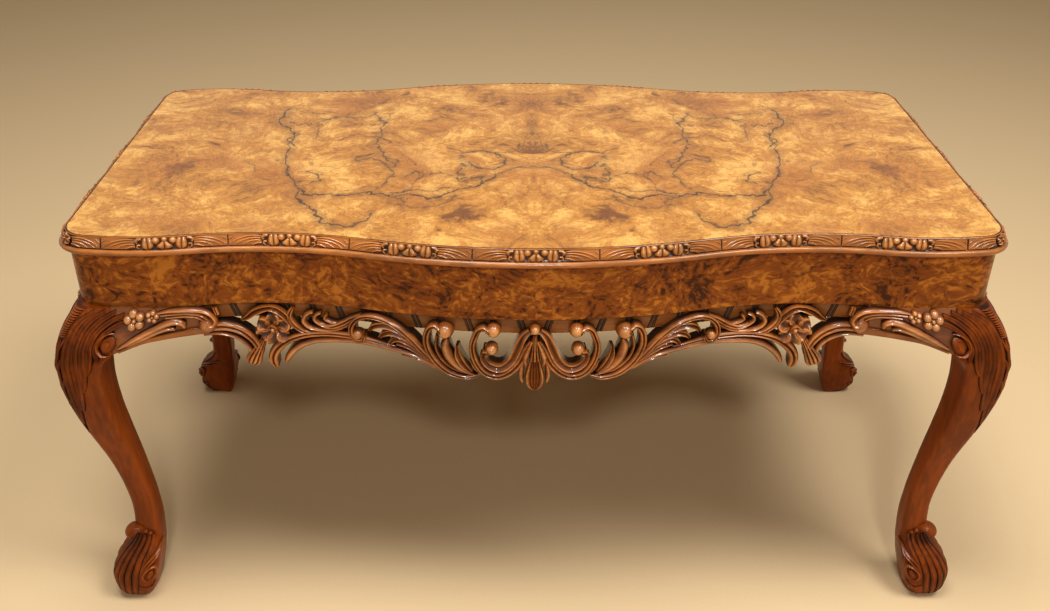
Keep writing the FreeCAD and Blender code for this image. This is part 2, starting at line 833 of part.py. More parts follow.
def leg_shape():
    """Leg of the +X +Y corner."""
    foot_sections = []
    for height_share, sweep_share, width_share, radius_share in leg_section_shares:
        height = height_share * frieze_bottom
        high_x = half_length + sweep_share * knee_sweep
        high_y = shoulder_depth + sweep_share * knee_sweep
        width = width_share * leg_width
        low_x = high_x - width
        low_y = high_y - width
        radius = radius_share * leg_width
        foot_sections.append(
            rounded_square(low_x, low_y, high_x, high_y, height, radius, radius)
        )
    shaft = Part.makeLoft(foot_sections, True, False)
    knee_sections = []
    for height_share, sweep_share, radius_share in knee_section_shares:
        high_x = half_length + sweep_share * knee_sweep
        high_y = shoulder_depth + sweep_share * knee_sweep
        low_x = leg_inner_x - size("carving_gap")
        low_y = leg_inner_y - size("carving_gap")
        height = height_share * frieze_bottom
        radius = radius_share * leg_width
        knee_sections.append(
            rounded_square(low_x, low_y, high_x, high_y, height, radius, size("knee_arris"))
        )
    knee = Part.makeLoft(knee_sections, True, False)
    knee_low = knee_section_shares[0][0] * frieze_bottom
    seat_box = block((leg_inner_x, leg_inner_y, knee_low), (far, far, frieze_bottom))
    knee = knee.common(seat_box)
    knob_inset = size("toe_knob_radius") / 3
    knob = Part.makeSphere(
        size("toe_knob_radius"),
        Vector(
            half_length - knob_inset, shoulder_depth - knob_inset, size("toe_knob_height")
        ),
    )
    return shaft.fuse([knee, knob])


leg = leg_shape()
for label, side in CORNERS.items():
    turned = leg.copy()
    for place, axis in zip(side, (Vector(1, 0, 0), Vector(0, 1, 0))):
        if place < 0:
            turned = turned.mirror(Vector(0, 0, 0), axis)
    keep(f"leg_{label}", turned.cut(leg_hole_set))

# Knee brackets: they carry the knee's swell along under the frieze and die into the apron
swell_shares = (0.94, 0.52, 0.2, 0)
rise_shares = (0.45, 0.98, 1.08, 1)
knee_low = knee_section_shares[0][0] * frieze_bottom


def bracket_section(place, face, swell, low, turn):
    """Section of a bracket square to its run: flat back and top, swelling face."""
    back = face - size("bracket_thickness")
    top_out = face + size("bracket_top_proud")
    low_out = top_out + swell
    middle_height = (low + frieze_bottom) / 2
    middle_out = top_out + 0.8 * swell
    spots = [
        Vector(place, back, low),
        Vector(place, back, frieze_bottom),
        Vector(place, top_out, frieze_bottom),
        Vector(place, middle_out, middle_height),
        Vector(place, low_out, low),
    ]
    if turn:
        spots = [Vector(spot.y, spot.x, spot.z) for spot in spots]
    face_arc = Part.BSplineCurve()
    face_arc.interpolate([spots[2], spots[3], spots[4]])
    return Part.Wire(
        [
            Part.makeLine(spots[0], spots[1]),
            Part.makeLine(spots[1], spots[2]),
            face_arc.toShape(),
            Part.makeLine(spots[4], spots[0]),
        ]
    )


def bracket(start, end, faces, turn):
    """Bracket of the +X +Y corner from the leg's face to the apron's end."""
    rise = frieze_bottom - size("bracket_end_height") - knee_low
    knee_out = shoulder_depth + knee_sweep
    swell = knee_out - shoulder_depth - size("bracket_top_proud")
    sections = []
    for number, (swell_share, rise_share) in enumerate(zip(swell_shares, rise_shares)):
        place = start + (end - start) * number / (len(swell_shares) - 1)
        low = knee_low + rise_share * rise
        face = faces(place)
        sections.append(bracket_section(place, face, swell_share * swell, low, turn))
    return Part.makeLoft(sections, True, False)


long_bracket = bracket(leg_inner_x, apron_length, plan_depth, False)
short_bracket = bracket(leg_inner_y, side_length, lambda place: half_length, True)
for run, shape in (("long", long_bracket), ("short", short_bracket)):
    for label, side in CORNERS.items():
        turned = shape.copy()
        for place, axis in zip(side, (Vector(1, 0, 0), Vector(0, 1, 0))):
            if place < 0:
                turned = turned.mirror(Vector(0, 0, 0), axis)
        keep(f"knee_bracket_{run}_{label}", turned)

# Check every object, then write each sub-part to its own file
doc.recompute()
for thing in doc.Objects:
    if "Invalid" in thing.State or "Error" in thing.State:
        raise RuntimeError(f"{thing.Label} failed: {thing.State}")
for piece in PIECES:
    if piece.Shape.isNull() or not piece.Shape.isValid():
        raise RuntimeError(f"{piece.Label} has no valid shape")
os.makedirs("parts", exist_ok=True)
for piece in PIECES:
    piece.Shape.exportStep(f"parts/{piece.Label}.step")
    box = piece.Shape.BoundBox
    print(
        f"{piece.Label}: {len(piece.Shape.Solids)} solid(s), volume {piece.Shape.Volume:.0f},"
        f" x {box.XMin:.1f}..{box.XMax:.1f}, y {box.YMin:.1f}..{box.YMax:.1f},"
        f" z {box.ZMin:.1f}..{box.ZMax:.1f}"
    )
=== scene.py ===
import math

import bmesh
import bpy
from mathutils import Matrix, Vector


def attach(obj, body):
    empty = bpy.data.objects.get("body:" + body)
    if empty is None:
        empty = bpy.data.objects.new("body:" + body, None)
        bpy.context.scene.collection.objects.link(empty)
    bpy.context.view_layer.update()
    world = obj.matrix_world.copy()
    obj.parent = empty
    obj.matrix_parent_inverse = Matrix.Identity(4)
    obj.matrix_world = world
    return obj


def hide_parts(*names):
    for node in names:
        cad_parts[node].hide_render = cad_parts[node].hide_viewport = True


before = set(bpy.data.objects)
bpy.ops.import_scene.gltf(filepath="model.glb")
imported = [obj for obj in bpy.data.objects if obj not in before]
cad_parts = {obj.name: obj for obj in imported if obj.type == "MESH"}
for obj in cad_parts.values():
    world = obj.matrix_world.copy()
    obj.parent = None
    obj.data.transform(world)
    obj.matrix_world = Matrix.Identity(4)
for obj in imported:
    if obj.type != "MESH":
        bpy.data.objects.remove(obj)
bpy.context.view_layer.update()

# Frieze carcase: four beech rails dowelled to solid corner blocks, with braces, glue blocks
# and steel screws that hold the top. Plain sawn timber, seen only from underneath.
MM = 0.001
SIDES = {"front_left": (-1, -1), "front_right": (1, -1), "back_left": (-1, 1), "back_right": (1, 1)}
BEECH_DARK, BEECH_LIGHT = (0.24, 0.13, 0.06, 1), (0.36, 0.21, 0.10, 1)
END_DARK, END_LIGHT = (0.23, 0.12, 0.055, 1), (0.34, 0.20, 0.095, 1)
DOWEL_DARK, DOWEL_LIGHT = (0.42, 0.27, 0.14, 1), (0.56, 0.38, 0.21, 1)
STEEL, STEEL_PATINA = (0.42, 0.40, 0.37, 1), (0.18, 0.14, 0.11, 1)


def feed(tree, made, inputs):
    """Sets a node's inputs to values, or links them to sockets."""
    for key, value in inputs.items():
        if isinstance(value, bpy.types.NodeSocket):
            tree.links.new(value, made.inputs[key])
        else:
            made.inputs[key].default_value = value


def node(tree, kind, inputs=None, **settings):
    """A shader node with its settings and inputs."""
    made = tree.nodes.new("ShaderNode" + kind)
    for key, value in settings.items():
        setattr(made, key, value)
    feed(tree, made, inputs or {})
    return made


def maths(tree, operation, first, second=0.0, third=0.0):
    return node(tree, "Math", {0: first, 1: second, 2: third}, operation=operation).outputs[0]


def vectors(tree, operation, first, second=(0.0, 0.0, 0.0)):
    """What two vectors give, or a vector and a number where it is scaled."""
    other = "Scale" if operation == "SCALE" else 1
    made = node(tree, "VectorMath", {0: first, other: second}, operation=operation)
    return made.outputs["Value" if operation in ("DOT_PRODUCT", "LENGTH", "DISTANCE") else 0]


def noise(tree, place, scale, detail, roughness=0.5, distortion=0.0, output=0):
    inputs = {"Vector": place, "Scale": scale, "Detail": detail, "Roughness": roughness}
    inputs["Distortion"] = distortion
    return node(tree, "TexNoise", inputs).outputs[output]


def blend(tree, factor, first, second, kind="MIX"):
    """Two colours mixed by a factor."""
    inputs = {0: factor, 6: first, 7: second}
    return node(tree, "Mix", inputs, data_type="RGBA", blend_type=kind).outputs[2]


def eased(tree, value, low, high, first=0.0, second=1.0):
    """A value brought smoothly from one range to another."""
    inputs = {0: value, 1: low, 2: high, 3: first, 4: second}
    return node(tree, "MapRange", inputs, interpolation_type="SMOOTHSTEP").outputs[0]


def bumpy(tree, height, distance, strength):
    """Shading normal of a surface with so much height."""
    inputs = {"Height": height, "Distance": distance, "Strength": strength}
    return node(tree, "Bump", inputs).outputs[0]


def group(name, inputs, outputs):
    """An empty node group with the sockets named, and what is given to it."""
    kinds = {"value": "NodeSocketFloat", "colour": "NodeSocketColor", "vector": "NodeSocketVector"}
    tree = bpy.data.node_groups.new(name, "ShaderNodeTree")
    for direction, sockets in (("INPUT", inputs), ("OUTPUT", outputs)):
        for socket, kind in sockets.items():
            tree.interface.new_socket(name=socket, in_out=direction, socket_type=kinds[kind])
    return tree, tree.nodes.new("NodeGroupInput").outputs


def wood_grain():
    """Straight grain: long fibres across which the tone changes, and open pores."""
    tree, given = group(
        "wood_grain", {"Place": "vector", "Stretch": "vector"}, {"Tone": "value", "Pore": "value"}
    )
    place = vectors(tree, "MULTIPLY", given["Place"], given["Stretch"])
    fibre = maths(tree, "MULTIPLY", noise(tree, place, 6.0, 6.0, distortion=0.4), 0.45)
    tone = maths(tree, "MULTIPLY_ADD", noise(tree, place, 1.0, 2.0), 0.55, fibre)
    pore = eased(tree, noise(tree, place, 22.0, 2.0), 0.58, 0.72)
    feed(tree, tree.nodes.new("NodeGroupOutput"), {"Tone": tone, "Pore": pore})
    return tree


WOOD_GRAIN = wood_grain()


def start_material(name):
    """A material with its shader and the object's own coordinates."""
    material = bpy.data.materials.new(name)
    material.use_nodes = True
    tree = material.node_tree
    place = tree.nodes.new("ShaderNodeTexCoord").outputs["Object"]
    return material, tree, tree.nodes["Principled BSDF"], place


def raw_timber(name, dark, light, stretch, roughness):
    material, tree, shader, place = start_material(name)
    inputs = {"Place": place, "Stretch": stretch}
    grain = node(tree, "Group", inputs, node_tree=WOOD_GRAIN).outputs
    colour = blend(tree, eased(tree, grain["Tone"], 0.35, 0.65), dark, light)
    colour = blend(tree, maths(tree, "MULTIPLY", grain["Pore"], 0.35), colour, dark)
    normal = bumpy(tree, grain["Tone"], 0.0004, 0.5)
    feed(tree, shader, {"Base Color": colour, "Roughness": roughness, "Normal": normal})
    return material


def dress(names, material):
    """CAD nodes kept as they are, with their own material."""
    for name in names:
        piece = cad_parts[name]
        piece.data.materials.clear()
        piece.data.materials.append(material)


beech_long = raw_timber("beech_rail", BEECH_DARK, BEECH_LIGHT, (4, 40, 40), 0.62)
beech_short = raw_timber("beech_end_rail", END_DARK, END_LIGHT, (40, 4, 40), 0.62)
dowel_wood = raw_timber("dowel_beech", DOWEL_DARK, DOWEL_LIGHT, (30, 30, 30), 0.55)
dress(["frieze_rail_front", "frieze_rail_back", "glue_blocks"], beech_long)
dress(["frieze_rail_left", "frieze_rail_right"], beech_short)
dress([f"corner_brace_{corner}" for corner in SIDES], beech_long)
dress([f"corner_block_{corner}" for corner in SIDES], beech_short)
dress(["rail_dowels", "leg_dowels"], dowel_wood)


def screw_steel():
    material, tree, shader, place = start_material("screw_steel")
    patina = noise(tree, place, 260.0, 4.0)
    colour = blend(tree, eased(tree, patina, 0.4, 0.7), STEEL, STEEL_PATINA)
    roughness = eased(tree, patina, 0.3, 0.7, 0.3, 0.6)
    feed(tree, shader, {"Base Color": colour, "Roughness": roughness, "Metallic": 1.0})
    return material


dress(["top_screws"], screw_steel())

# Burr veneer on the frieze: leaves 0.6 mm thick glued over the rails and corner blocks, two
# on each long side, one on each short side and one round each corner, under old polish.
HALF_LENGTH = 518.0
HALF_DEPTH = 230.0
BOW_RISE, HOLLOW_DIP = 26.0, 11.0
HOLLOW_X, SHOULDER_X = 305.0, 440.0
BOW_SHARE, HOLLOW_SHARE = 0.611, 0.389
OUTER_HOLLOW_SHARE, SHOULDER_SHARE = 0.594, 0.406
CORNER_RADIUS = 28.0
FRIEZE_LOW = 432.5
FRIEZE_HIGH = 502.0
FRIEZE_PROUD = 1.5
VENEER = 0.6
LEAF_X = HALF_LENGTH - 90.0
LEAF_Y = 177.9
FRIEZE_DARK, FRIEZE_BODY = (0.062, 0.0130, 0.0018, 1), (0.290, 0.071, 0.0058, 1)
FRIEZE_LIGHT, FRIEZE_LINE = (0.60, 0.205, 0.022, 1), (0.022, 0.009, 0.004, 1)


def plan_arcs():
    """Centre, signed radius, and first and last angle of the arcs of one quarter."""
    bow_y = HALF_DEPTH + BOW_RISE
    hollow_y = HALF_DEPTH - HOLLOW_DIP
    turn = 2 * math.atan2(BOW_RISE + HOLLOW_DIP, HOLLOW_X)
    bow = BOW_SHARE * HOLLOW_X / math.sin(turn)
    hollow = HOLLOW_SHARE * HOLLOW_X / math.sin(turn)
    run = SHOULDER_X - HOLLOW_X
    outer_turn = 2 * math.atan2(HOLLOW_DIP, run)
    outer_hollow = OUTER_HOLLOW_SHARE * run / math.sin(outer_turn)
    shoulder = SHOULDER_SHARE * run / math.sin(outer_turn)
    corner_x = HALF_LENGTH - CORNER_RADIUS
    end = math.asin((corner_x - SHOULDER_X) / (shoulder - CORNER_RADIUS))
    corner_y = HALF_DEPTH - shoulder + (shoulder - CORNER_RADIUS) * math.cos(end)
    return [
        (0.0, bow_y - bow, bow, 0.0, turn),
        (HOLLOW_X, hollow_y + hollow, -hollow, turn, 0.0),
        (HOLLOW_X, hollow_y + outer_hollow, -outer_hollow, 0.0, -outer_turn),
        (SHOULDER_X, HALF_DEPTH - shoulder, shoulder, -outer_turn, end),
        (corner_x, corner_y, CORNER_RADIUS, end, math.pi / 2),
    ]


ARCS = plan_arcs()
_, CORNER_Y, _, CORNER_FIRST, CORNER_LAST = ARCS[4]
LONG_RUN = sum(abs(arc[2] * (arc[4] - arc[3])) for arc in ARCS[:4])
CORNER_RUN = CORNER_RADIUS * (CORNER_LAST - CORNER_FIRST)
CORNER_MIDDLE = LONG_RUN + CORNER_RADIUS * (math.pi / 4 - CORNER_FIRST)
QUARTER_RUN = LONG_RUN + CORNER_RUN + CORNER_Y


def plan_at(run):
    """Place and outward normal of the plan's edge, run mm from the middle of the long side."""
    for x, y, radius, first, last in ARCS:
        length = abs(radius * (last - first))
        if run <= length:
            angle = first + (last - first) * run / length
            reach = Vector((math.sin(angle), math.cos(angle)))
            return Vector((x, y)) + radius * reach, reach
        run -= length
    return Vector((HALF_LENGTH, CORNER_Y - run)), Vector((1.0, 0.0))


def run_at(x):
    """How far along the long side's edge a distance x from the middle is."""
    run = 0.0
    for centre_x, _, radius, first, last in ARCS[:4]:
        if x <= centre_x + radius * math.sin(last):
            share = (x - centre_x) / radius
            angle = math.asin(max(-1.0, min(1.0, share)))
            return run + abs(radius * (angle - first))
        run += abs(radius * (last - first))
    return run


def edge_place(face, run, out, height):
    """World place in mm. On the front and back run goes from the middle to the right, on
    the left and right from the middle to the back."""
    side = math.copysign(1, run)
    if face in ("front", "back"):
        point, normal = plan_at(abs(run))
        point = point + normal * out
        return Vector((side * point.x, point.y * (-1 if face == "front" else 1), height))
    point, normal = plan_at(QUARTER_RUN - abs(run))
    point = point + normal * out
    return Vector((point.x * (-1 if face == "left" else 1), side * point.y, height))


RODS = {}


def rod(sides, rings):
    """A closed rod and its vertex numbers ring by ring, to be drawn out into a piece."""
    if (sides, rings) not in RODS:
        raw = bmesh.new()
        bmesh.ops.create_cone(
            raw, cap_ends=True, segments=sides, radius1=1.0, radius2=1.0, depth=1.0
        )
        lengths = [e for e in raw.edges if abs(e.verts[0].co.z - e.verts[1].co.z) > 0.5]
        bmesh.ops.subdivide_edges(raw, edges=lengths, cuts=rings - 2, use_grid_fill=True)
        numbers = [[0] * sides for _ in range(rings)]
        for number, vert in enumerate(raw.verts):
            ring = round((vert.co.z + 0.5) * (rings - 1))
            turn = math.atan2(vert.co.x, vert.co.y) / math.tau
            numbers[ring][round(turn * sides) % sides] = number
        mesh = bpy.data.meshes.new("rod")
        raw.to_mesh(mesh)
        raw.free()
        RODS[sides, rings] = (mesh, numbers)
    return RODS[sides, rings]


def draw_out(work, rings, wear_and_shade=None):
    """Adds a rod whose rings of points are given in world mm to a bmesh, with each point's
    tone from 0, dark in the depths with patina and painted shade, to 1, light on the
    crests with rubbing and painted highlight."""
    mesh, numbers = rod(len(rings[0]), len(rings))
    raw = bmesh.new()
    raw.from_mesh(mesh)
    raw.verts.ensure_lookup_table()
    rubbed_and_lit = raw.verts.layers.float.new("wear_and_shade")
    for ring, points in enumerate(rings):
        for side, point in enumerate(points):
            vert = raw.verts[numbers[ring][side]]
            vert.co = point * MM
            vert[rubbed_and_lit] = wear_and_shade[ring][side] if wear_and_shade else 0.5
    add_to(work, raw)


def add_to(work, raw):
    """Adds a small closed bmesh to the piece's own, its faces turned outward."""
    bmesh.ops.remove_doubles(raw, verts=raw.verts, dist=1e-6)
    bmesh.ops.recalc_face_normals(raw, faces=raw.faces)
    mesh = bpy.data.meshes.new("part")
    raw.to_mesh(mesh)
    raw.free()
    work.from_mesh(mesh)
    bpy.data.meshes.remove(mesh)


def new_work():
    work = bmesh.new()
    work.verts.layers.float.new("wear_and_shade")
    return work


def finish_piece(work, name, material, slot, *nodes):
    """Makes the bmesh a smooth shaded piece that stands for the CAD nodes it covers."""
    mesh = bpy.data.meshes.new(name)
    work.to_mesh(mesh)
    work.free()
    mesh.shade_smooth()
    mesh.set_sharp_from_angle(angle=math.radians(50))
    mesh.materials.append(material)
    piece = bpy.data.objects.new(name, mesh)
    bpy.context.scene.collection.objects.link(piece)
    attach(piece, "root")
    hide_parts(*nodes)


def strip(work, face, first, last, section, step=6.0, wear_and_shade=None):
    """A length of a section of (out, height) points that follows one side of the table."""
    count = max(2, math.ceil((last - first) / step) + 1)
    runs = [first + (last - first) * i / (count - 1) for i in range(count)]
    rings = [[edge_place(face, run, out, height) for out, height in section] for run in runs]
    draw_out(work, rings, [wear_and_shade] * count if wear_and_shade else None)


def drifted(tree, place, scale, detail, reach, roughness=0.5, flat=False):
    """A place moved about by noise, so that what is drawn on it wanders."""
    drift = noise(tree, place, scale, detail, roughness, output=1)
    drift = vectors(tree, "SUBTRACT", drift, (0.5, 0.5, 0.5))
    drift = vectors(tree, "MULTIPLY", drift, (reach, reach, 0.0 if flat else reach))
    return vectors(tree, "ADD", place, drift)


def mix_values(tree, pairs):
    """Sum of values each times its share."""
    total = 0.0
    for value, share in pairs:
        total = maths(tree, "MULTIPLY_ADD", value, share, total)
    return total


def burr_figure():
    """Burr walnut: clouds of light and dark wood, crinkled dark lines between growths,
    small eyes and short fibres that catch the light."""
    figures = ("Cloud", "Fleck", "Line", "Eye", "Fibre")
    inputs = {"Place": "vector", "Line": "value"}
    tree, given = group("burr_figure", inputs, {figure: "value" for figure in figures})
    place = given["Place"]
    rough = drifted(tree, drifted(tree, place, 9.0, 3.0, 0.09), 55.0, 4.0, 0.018, 0.6)
    broad = noise(tree, rough, 11.0, 3.0)
    small = noise(tree, rough, 42.0, 5.0, 0.65)
    speck = noise(tree, rough, 150.0, 3.0)
    field = maths(tree, "MULTIPLY", noise(tree, rough, 7.0, 2.0, 0.4), 7.0)
    steps = maths(tree, "PINGPONG", field, 0.5)
    soft = maths(tree, "MULTIPLY", eased(tree, steps, 0.16, 0.0), 0.25)
    line = maths(tree, "MULTIPLY_ADD", eased(tree, steps, 0.035, 0.0), 0.75, soft)
    fade = eased(tree, noise(tree, place, 17.0, 1.0), 0.45, 0.62)
    cells = node(tree, "TexVoronoi", {"Vector": rough, "Scale": 24.0, "Randomness": 1.0}).outputs
    near = eased(tree, cells["Distance"], 0.22, 0.04)
    pick = eased(tree, noise(tree, cells["Position"], 31.0, 0.0), 0.55, 0.62)
    made = {
        "Cloud": mix_values(tree, [(broad, 0.42), (small, 0.38), (speck, 0.20)]),
        "Fleck": mix_values(tree, [(broad, 0.22), (small, 0.44), (speck, 0.34)]),
        "Line": maths(tree, "MULTIPLY", line, maths(tree, "MULTIPLY", fade, given["Line"])),
        "Eye": maths(tree, "MULTIPLY", near, pick),
        "Fibre": noise(tree, rough, 230.0, 2.0, distortion=1.5),
    }
    feed(tree, tree.nodes.new("NodeGroupOutput"), made)
    return tree


BURR_FIGURE = burr_figure()


def frieze_burr(name, shift):
    """Dark burr of the frieze, each leaf cut from another part of the flitch."""
    material, tree, shader, place = start_material(name)
    inputs = {"Vector": place, "Location": shift, "Scale": (1.0, 1.0, 1.25)}
    moved = node(tree, "Mapping", inputs).outputs[0]
    figure = node(tree, "Group", {"Place": moved, "Line": 0.7}, node_tree=BURR_FIGURE).outputs
    cloud = figure["Fleck"]
    colour = blend(tree, eased(tree, cloud, 0.40, 0.50), FRIEZE_DARK, FRIEZE_BODY)
    colour = blend(tree, eased(tree, cloud, 0.50, 0.60), colour, FRIEZE_LIGHT)
    dark = maths(tree, "MAXIMUM", figure["Line"], figure["Eye"])
    colour = blend(tree, maths(tree, "MULTIPLY", dark, 0.75), colour, FRIEZE_LINE)
    polish = {
        "Base Color": colour,
        "Roughness": eased(tree, cloud, 0.3, 0.7, 0.34, 0.27),
        "Specular IOR Level": 0.10,
        "Coat Weight": 0.15,
        "Coat Roughness": 0.14,
        "Normal": bumpy(tree, figure["Fibre"], 0.0003, 0.15),
    }
    feed(tree, shader, polish)
    return material


LEAF_SECTION = [
    (FRIEZE_PROUD - VENEER, FRIEZE_LOW),
    (FRIEZE_PROUD, FRIEZE_LOW),
    (FRIEZE_PROUD, FRIEZE_HIGH),
    (FRIEZE_PROUD - VENEER, FRIEZE_HIGH),
]
leaves = []
for face, flitch in (("front", 0.7), ("back", 1.3)):
    for hand, sign in (("left", -1), ("right", 1)):
        shift = (0.31 * sign, flitch, 0.17 * sign)
        leaves.append((f"{face}_{hand}", face, (0.0, sign * run_at(LEAF_X)), shift, 6.0))
for face, shift in (("left", (0.5, 2.1, 0.4)), ("right", (1.7, 2.6, 0.9))):
    leaves.append((face, face, (-LEAF_Y, LEAF_Y), shift, 6.0))
for corner, (hand, way) in SIDES.items():
    face = "front" if way < 0 else "back"
    ends = (hand * run_at(LEAF_X), hand * (QUARTER_RUN - LEAF_Y))
    leaves.append((f"corner_{corner}", face, ends, (3.1 + hand, way * 1.9, 0.2), 2.5))
for name, face, ends, shift, step in leaves:
    leaf = new_work()
    strip(leaf, face, *sorted(ends), LEAF_SECTION, step)
    burr = frieze_burr(f"frieze_burr_{name}", shift)
    finish_piece(leaf, f"frieze_burr_{name}", burr, "burr_frieze", f"frieze_veneer_{name}")

# Fluted band: a walnut slip set back under the frieze between the knee brackets, cut with
# pairs of slanting flutes that lean away from the middle.
# Colour of the depths of all the carving: dark patina and painted shade.
DEEP = (0.020, 0.0065, 0.0030, 1)
BAND_BODY, BAND_RUBBED_AND_LIT = (0.36, 0.120, 0.022, 1), (0.50, 0.190, 0.045, 1)
BAND_LOW = 411.5
BAND_FACE = -4.0
BAND_BACK = -22.0
BAND_ENDS = {"front": 380.0, "back": 380.0, "left": 123, "right": 123}
BACK_SHARE = 0.86
FLUTE_PITCH, FLUTE_GAP, FLUTE_LEAN, FLUTE_WIDTH = 30.0, 2.3, 3.0, 3.6


def aged_polish_and_shade():
    """Old stain and wax on carving, with painted light: dark in the depths from patina and
    painted shade, light on the crests from rubbing and painted highlight, with the wood's
    own drift of tone."""
    inputs = {"Place": "vector", "Grain": "vector", "WearAndShade": "value"}
    inputs.update({"Deep": "colour", "Body": "colour", "RubbedAndLit": "colour"})
    outputs = {"Color": "colour", "Roughness": "value", "Height": "value"}
    tree, given = group("aged_polish_and_shade", inputs, outputs)
    inputs = {"Place": given["Place"], "Stretch": given["Grain"]}
    grain = node(tree, "Group", inputs, node_tree=WOOD_GRAIN).outputs["Tone"]
    patches = noise(tree, given["Place"], 38.0, 4.0)
    patchy = maths(tree, "SUBTRACT", patches, 0.5)
    wear_and_shade = maths(tree, "MULTIPLY_ADD", patchy, 0.55, given["WearAndShade"])
    colour = blend(tree, eased(tree, wear_and_shade, 0.05, 0.50), given["Deep"], given["Body"])
    colour = blend(tree, eased(tree, wear_and_shade, 0.60, 1.10), colour, given["RubbedAndLit"])
    tone = eased(tree, grain, 0.36, 0.62)
    shade = blend(tree, tone, (0.62, 0.60, 0.58, 1), (1.12, 1.10, 1.06, 1))
    made = {
        "Color": blend(tree, 1.0, colour, shade, "MULTIPLY"),
        "Roughness": maths(tree, "MULTIPLY_ADD", eased(tree, wear_and_shade, 0.1, 0.8), -0.22, 0.50),
        "Height": maths(tree, "MULTIPLY_ADD", grain, 0.6, maths(tree, "MULTIPLY", patches, 0.4)),
    }
    feed(tree, tree.nodes.new("NodeGroupOutput"), made)
    return tree


AGED_POLISH_AND_SHADE = aged_polish_and_shade()


def polished(name, deep, body, rubbed_and_lit, stretch, relief=0.25, coat=0.3, gloss=0.22, shine=0.25):
    """Solid walnut under old polish, its fibres along the way the stretch is least. Its colour
    follows the tone attribute: dark in the depths, patina and painted shade, and light on
    the crests, rubbing and painted highlight.
    """
    material, tree, shader, place = start_material(name)
    wear_and_shade = node(tree, "Attribute", attribute_name="wear_and_shade", attribute_type="GEOMETRY").outputs["Fac"]
    inputs = {"Place": place, "WearAndShade": wear_and_shade, "Grain": stretch}
    inputs.update({"Deep": deep, "Body": body, "RubbedAndLit": rubbed_and_lit})
    finish = node(tree, "Group", inputs, node_tree=AGED_POLISH_AND_SHADE).outputs
    polish = {
        "Base Color": finish["Color"],
        "Roughness": finish["Roughness"],
        "Specular IOR Level": shine,
        "Coat Weight": eased(tree, wear_and_shade, 0.55, 0.95, coat, 1.0),
        "Coat Roughness": gloss,
        "Normal": bumpy(tree, finish["Height"], 0.0005, relief),
    }
    feed(tree, shader, polish)
    return material


def between(before, start, end, after, t):
    """Smooth value at a share of the way from start to end."""
    return 0.5 * (
        2 * start
        + (end - before) * t
        + (2 * before - 5 * start + 4 * end - after) * t * t
        + (3 * start - before - 3 * end + after) * t * t * t
    )


def smooth_path(points, step):
    """A smooth line through points of (along, up, width, height), in steps of about step."""
    made = []
    for number in range(len(points) - 1):
        start, end = points[number], points[number + 1]
        before, after = points[max(0, number - 1)], points[min(len(points) - 1, number + 2)]
        count = max(1, round(math.hypot(end[0] - start[0], end[1] - start[1]) / step))
        for i in range(count):
            near = zip(before, start, end, after)
            made.append(tuple(between(*values, i / count) for values in near))
    made.append(points[-1])
    return made


def heading(path, number):
    """Direction of a path at one of its points."""
    before, after = path[max(0, number - 1)], path[min(len(path) - 1, number + 1)]
    ahead = Vector((after[0] - before[0], after[1] - before[1]))
    return ahead.normalized() if ahead.length > 1e-6 else Vector((1.0, 0.0))


def reeds(count, crown=0.25, groove=0.55, fine=False):
    """Cross-section of a carved member with so many reeds side by side, as (across,
    height, tone): across from -1 to 1, height and tone up to 1. Tone is 0 at the edges
    and grooves, patina and painted shade, and 1 on the crowns, rubbing and painted
    highlight."""
    turns = (0.0, 0.07, 0.22, 0.5, 0.78, 0.93) if fine else (0.0, 0.10, 0.34, 0.66, 0.90)
    section = []
    for reed in range(count):
        for turn in turns:
            across = -1 + 2 * (reed + turn) / count
            arch = math.sqrt(max(0.0, 1 - (2 * turn - 1) ** 2))
            level = (1 - crown * across * across) * (1 - groove + groove * arch)
            section.append((across, level if 0 < turn or reed else 0.0, arch * level))
    section.append((1.0, 0.0, 0.0))
    return section


def mirrored_section(half):
    """A whole section from the half of it up to its middle."""
    return half + [(-across, level, wear_and_shade) for across, level, wear_and_shade in reversed(half[:-1])]


def gouged(depth):
    """Cross-section of a leaf hollowed along its middle, with raised edges."""
    edge = [(-1.0, 0.0, 0.0), (-0.94, 0.72, 0.6), (-0.80, 1.0, 1.0), (-0.58, 0.90, 0.75)]
    return mirrored_section(edge + [(-0.30, 1 - 0.8 * depth, 0.35), (0.0, 1 - depth, 0.15)])


def member(work, place, points, section, back=3.0, step=3.5, rub_and_light=1.0):
    """A carved member: a section drawn along a smooth line. Place turns (along, up, out)
    into world mm, and back is how far the member's flat back lies behind the ground."""
    path = smooth_path(points, step)
    rings = []
    for number, (along, up, width, height) in enumerate(path):
        ahead = heading(path, number)
        aside = Vector((-ahead.y, ahead.x)) * max(width, 0.3) / 2
        marks = [(across, level * height) for across, level, _ in section]
        ring = []
        for across, out in marks + [(BACK_SHARE, -back), (-BACK_SHARE, -back)]:
            spot = Vector((along, up)) + aside * across
            ring.append(place(spot.x, spot.y, out))
        rings.append(ring)
    # Crowns lit by the factor, edges and flat back dark: painted highlight and painted shade
    wear_and_shade = [rub_and_light * shine for _, _, shine in section] + [0.0, 0.0]
    draw_out(work, rings, [wear_and_shade] * len(rings))


def boss(work, place, along, up, radius, height, detail=12, rub_and_light=1.0, sink=0.35):
    """A rounded bead or ball standing on the ground."""
    raw = bmesh.new()
    rubbed_and_lit = raw.verts.layers.float.new("wear_and_shade")
    bmesh.ops.create_uvsphere(raw, u_segments=detail, v_segments=max(6, detail // 2), radius=1.0)
    for vert in raw.verts:
        x, y, z = vert.co
        # Dark at the foot, patina and painted shade, and light on the crown, rubbing and painted
        # highlight
        vert[rubbed_and_lit] = rub_and_light * max(0.0, min(1.0, 0.15 + 0.95 * z))
        depth = z if z > 0 else z * sink
        vert.co = place(along + x * radius, up + y * radius, depth * height) * MM
    add_to(work, raw)


def on_side(place, sign):
    """The place on the right of a pattern's middle, or on the left with a sign below 0."""
    return lambda along, up, out: place(sign * along, up, out)


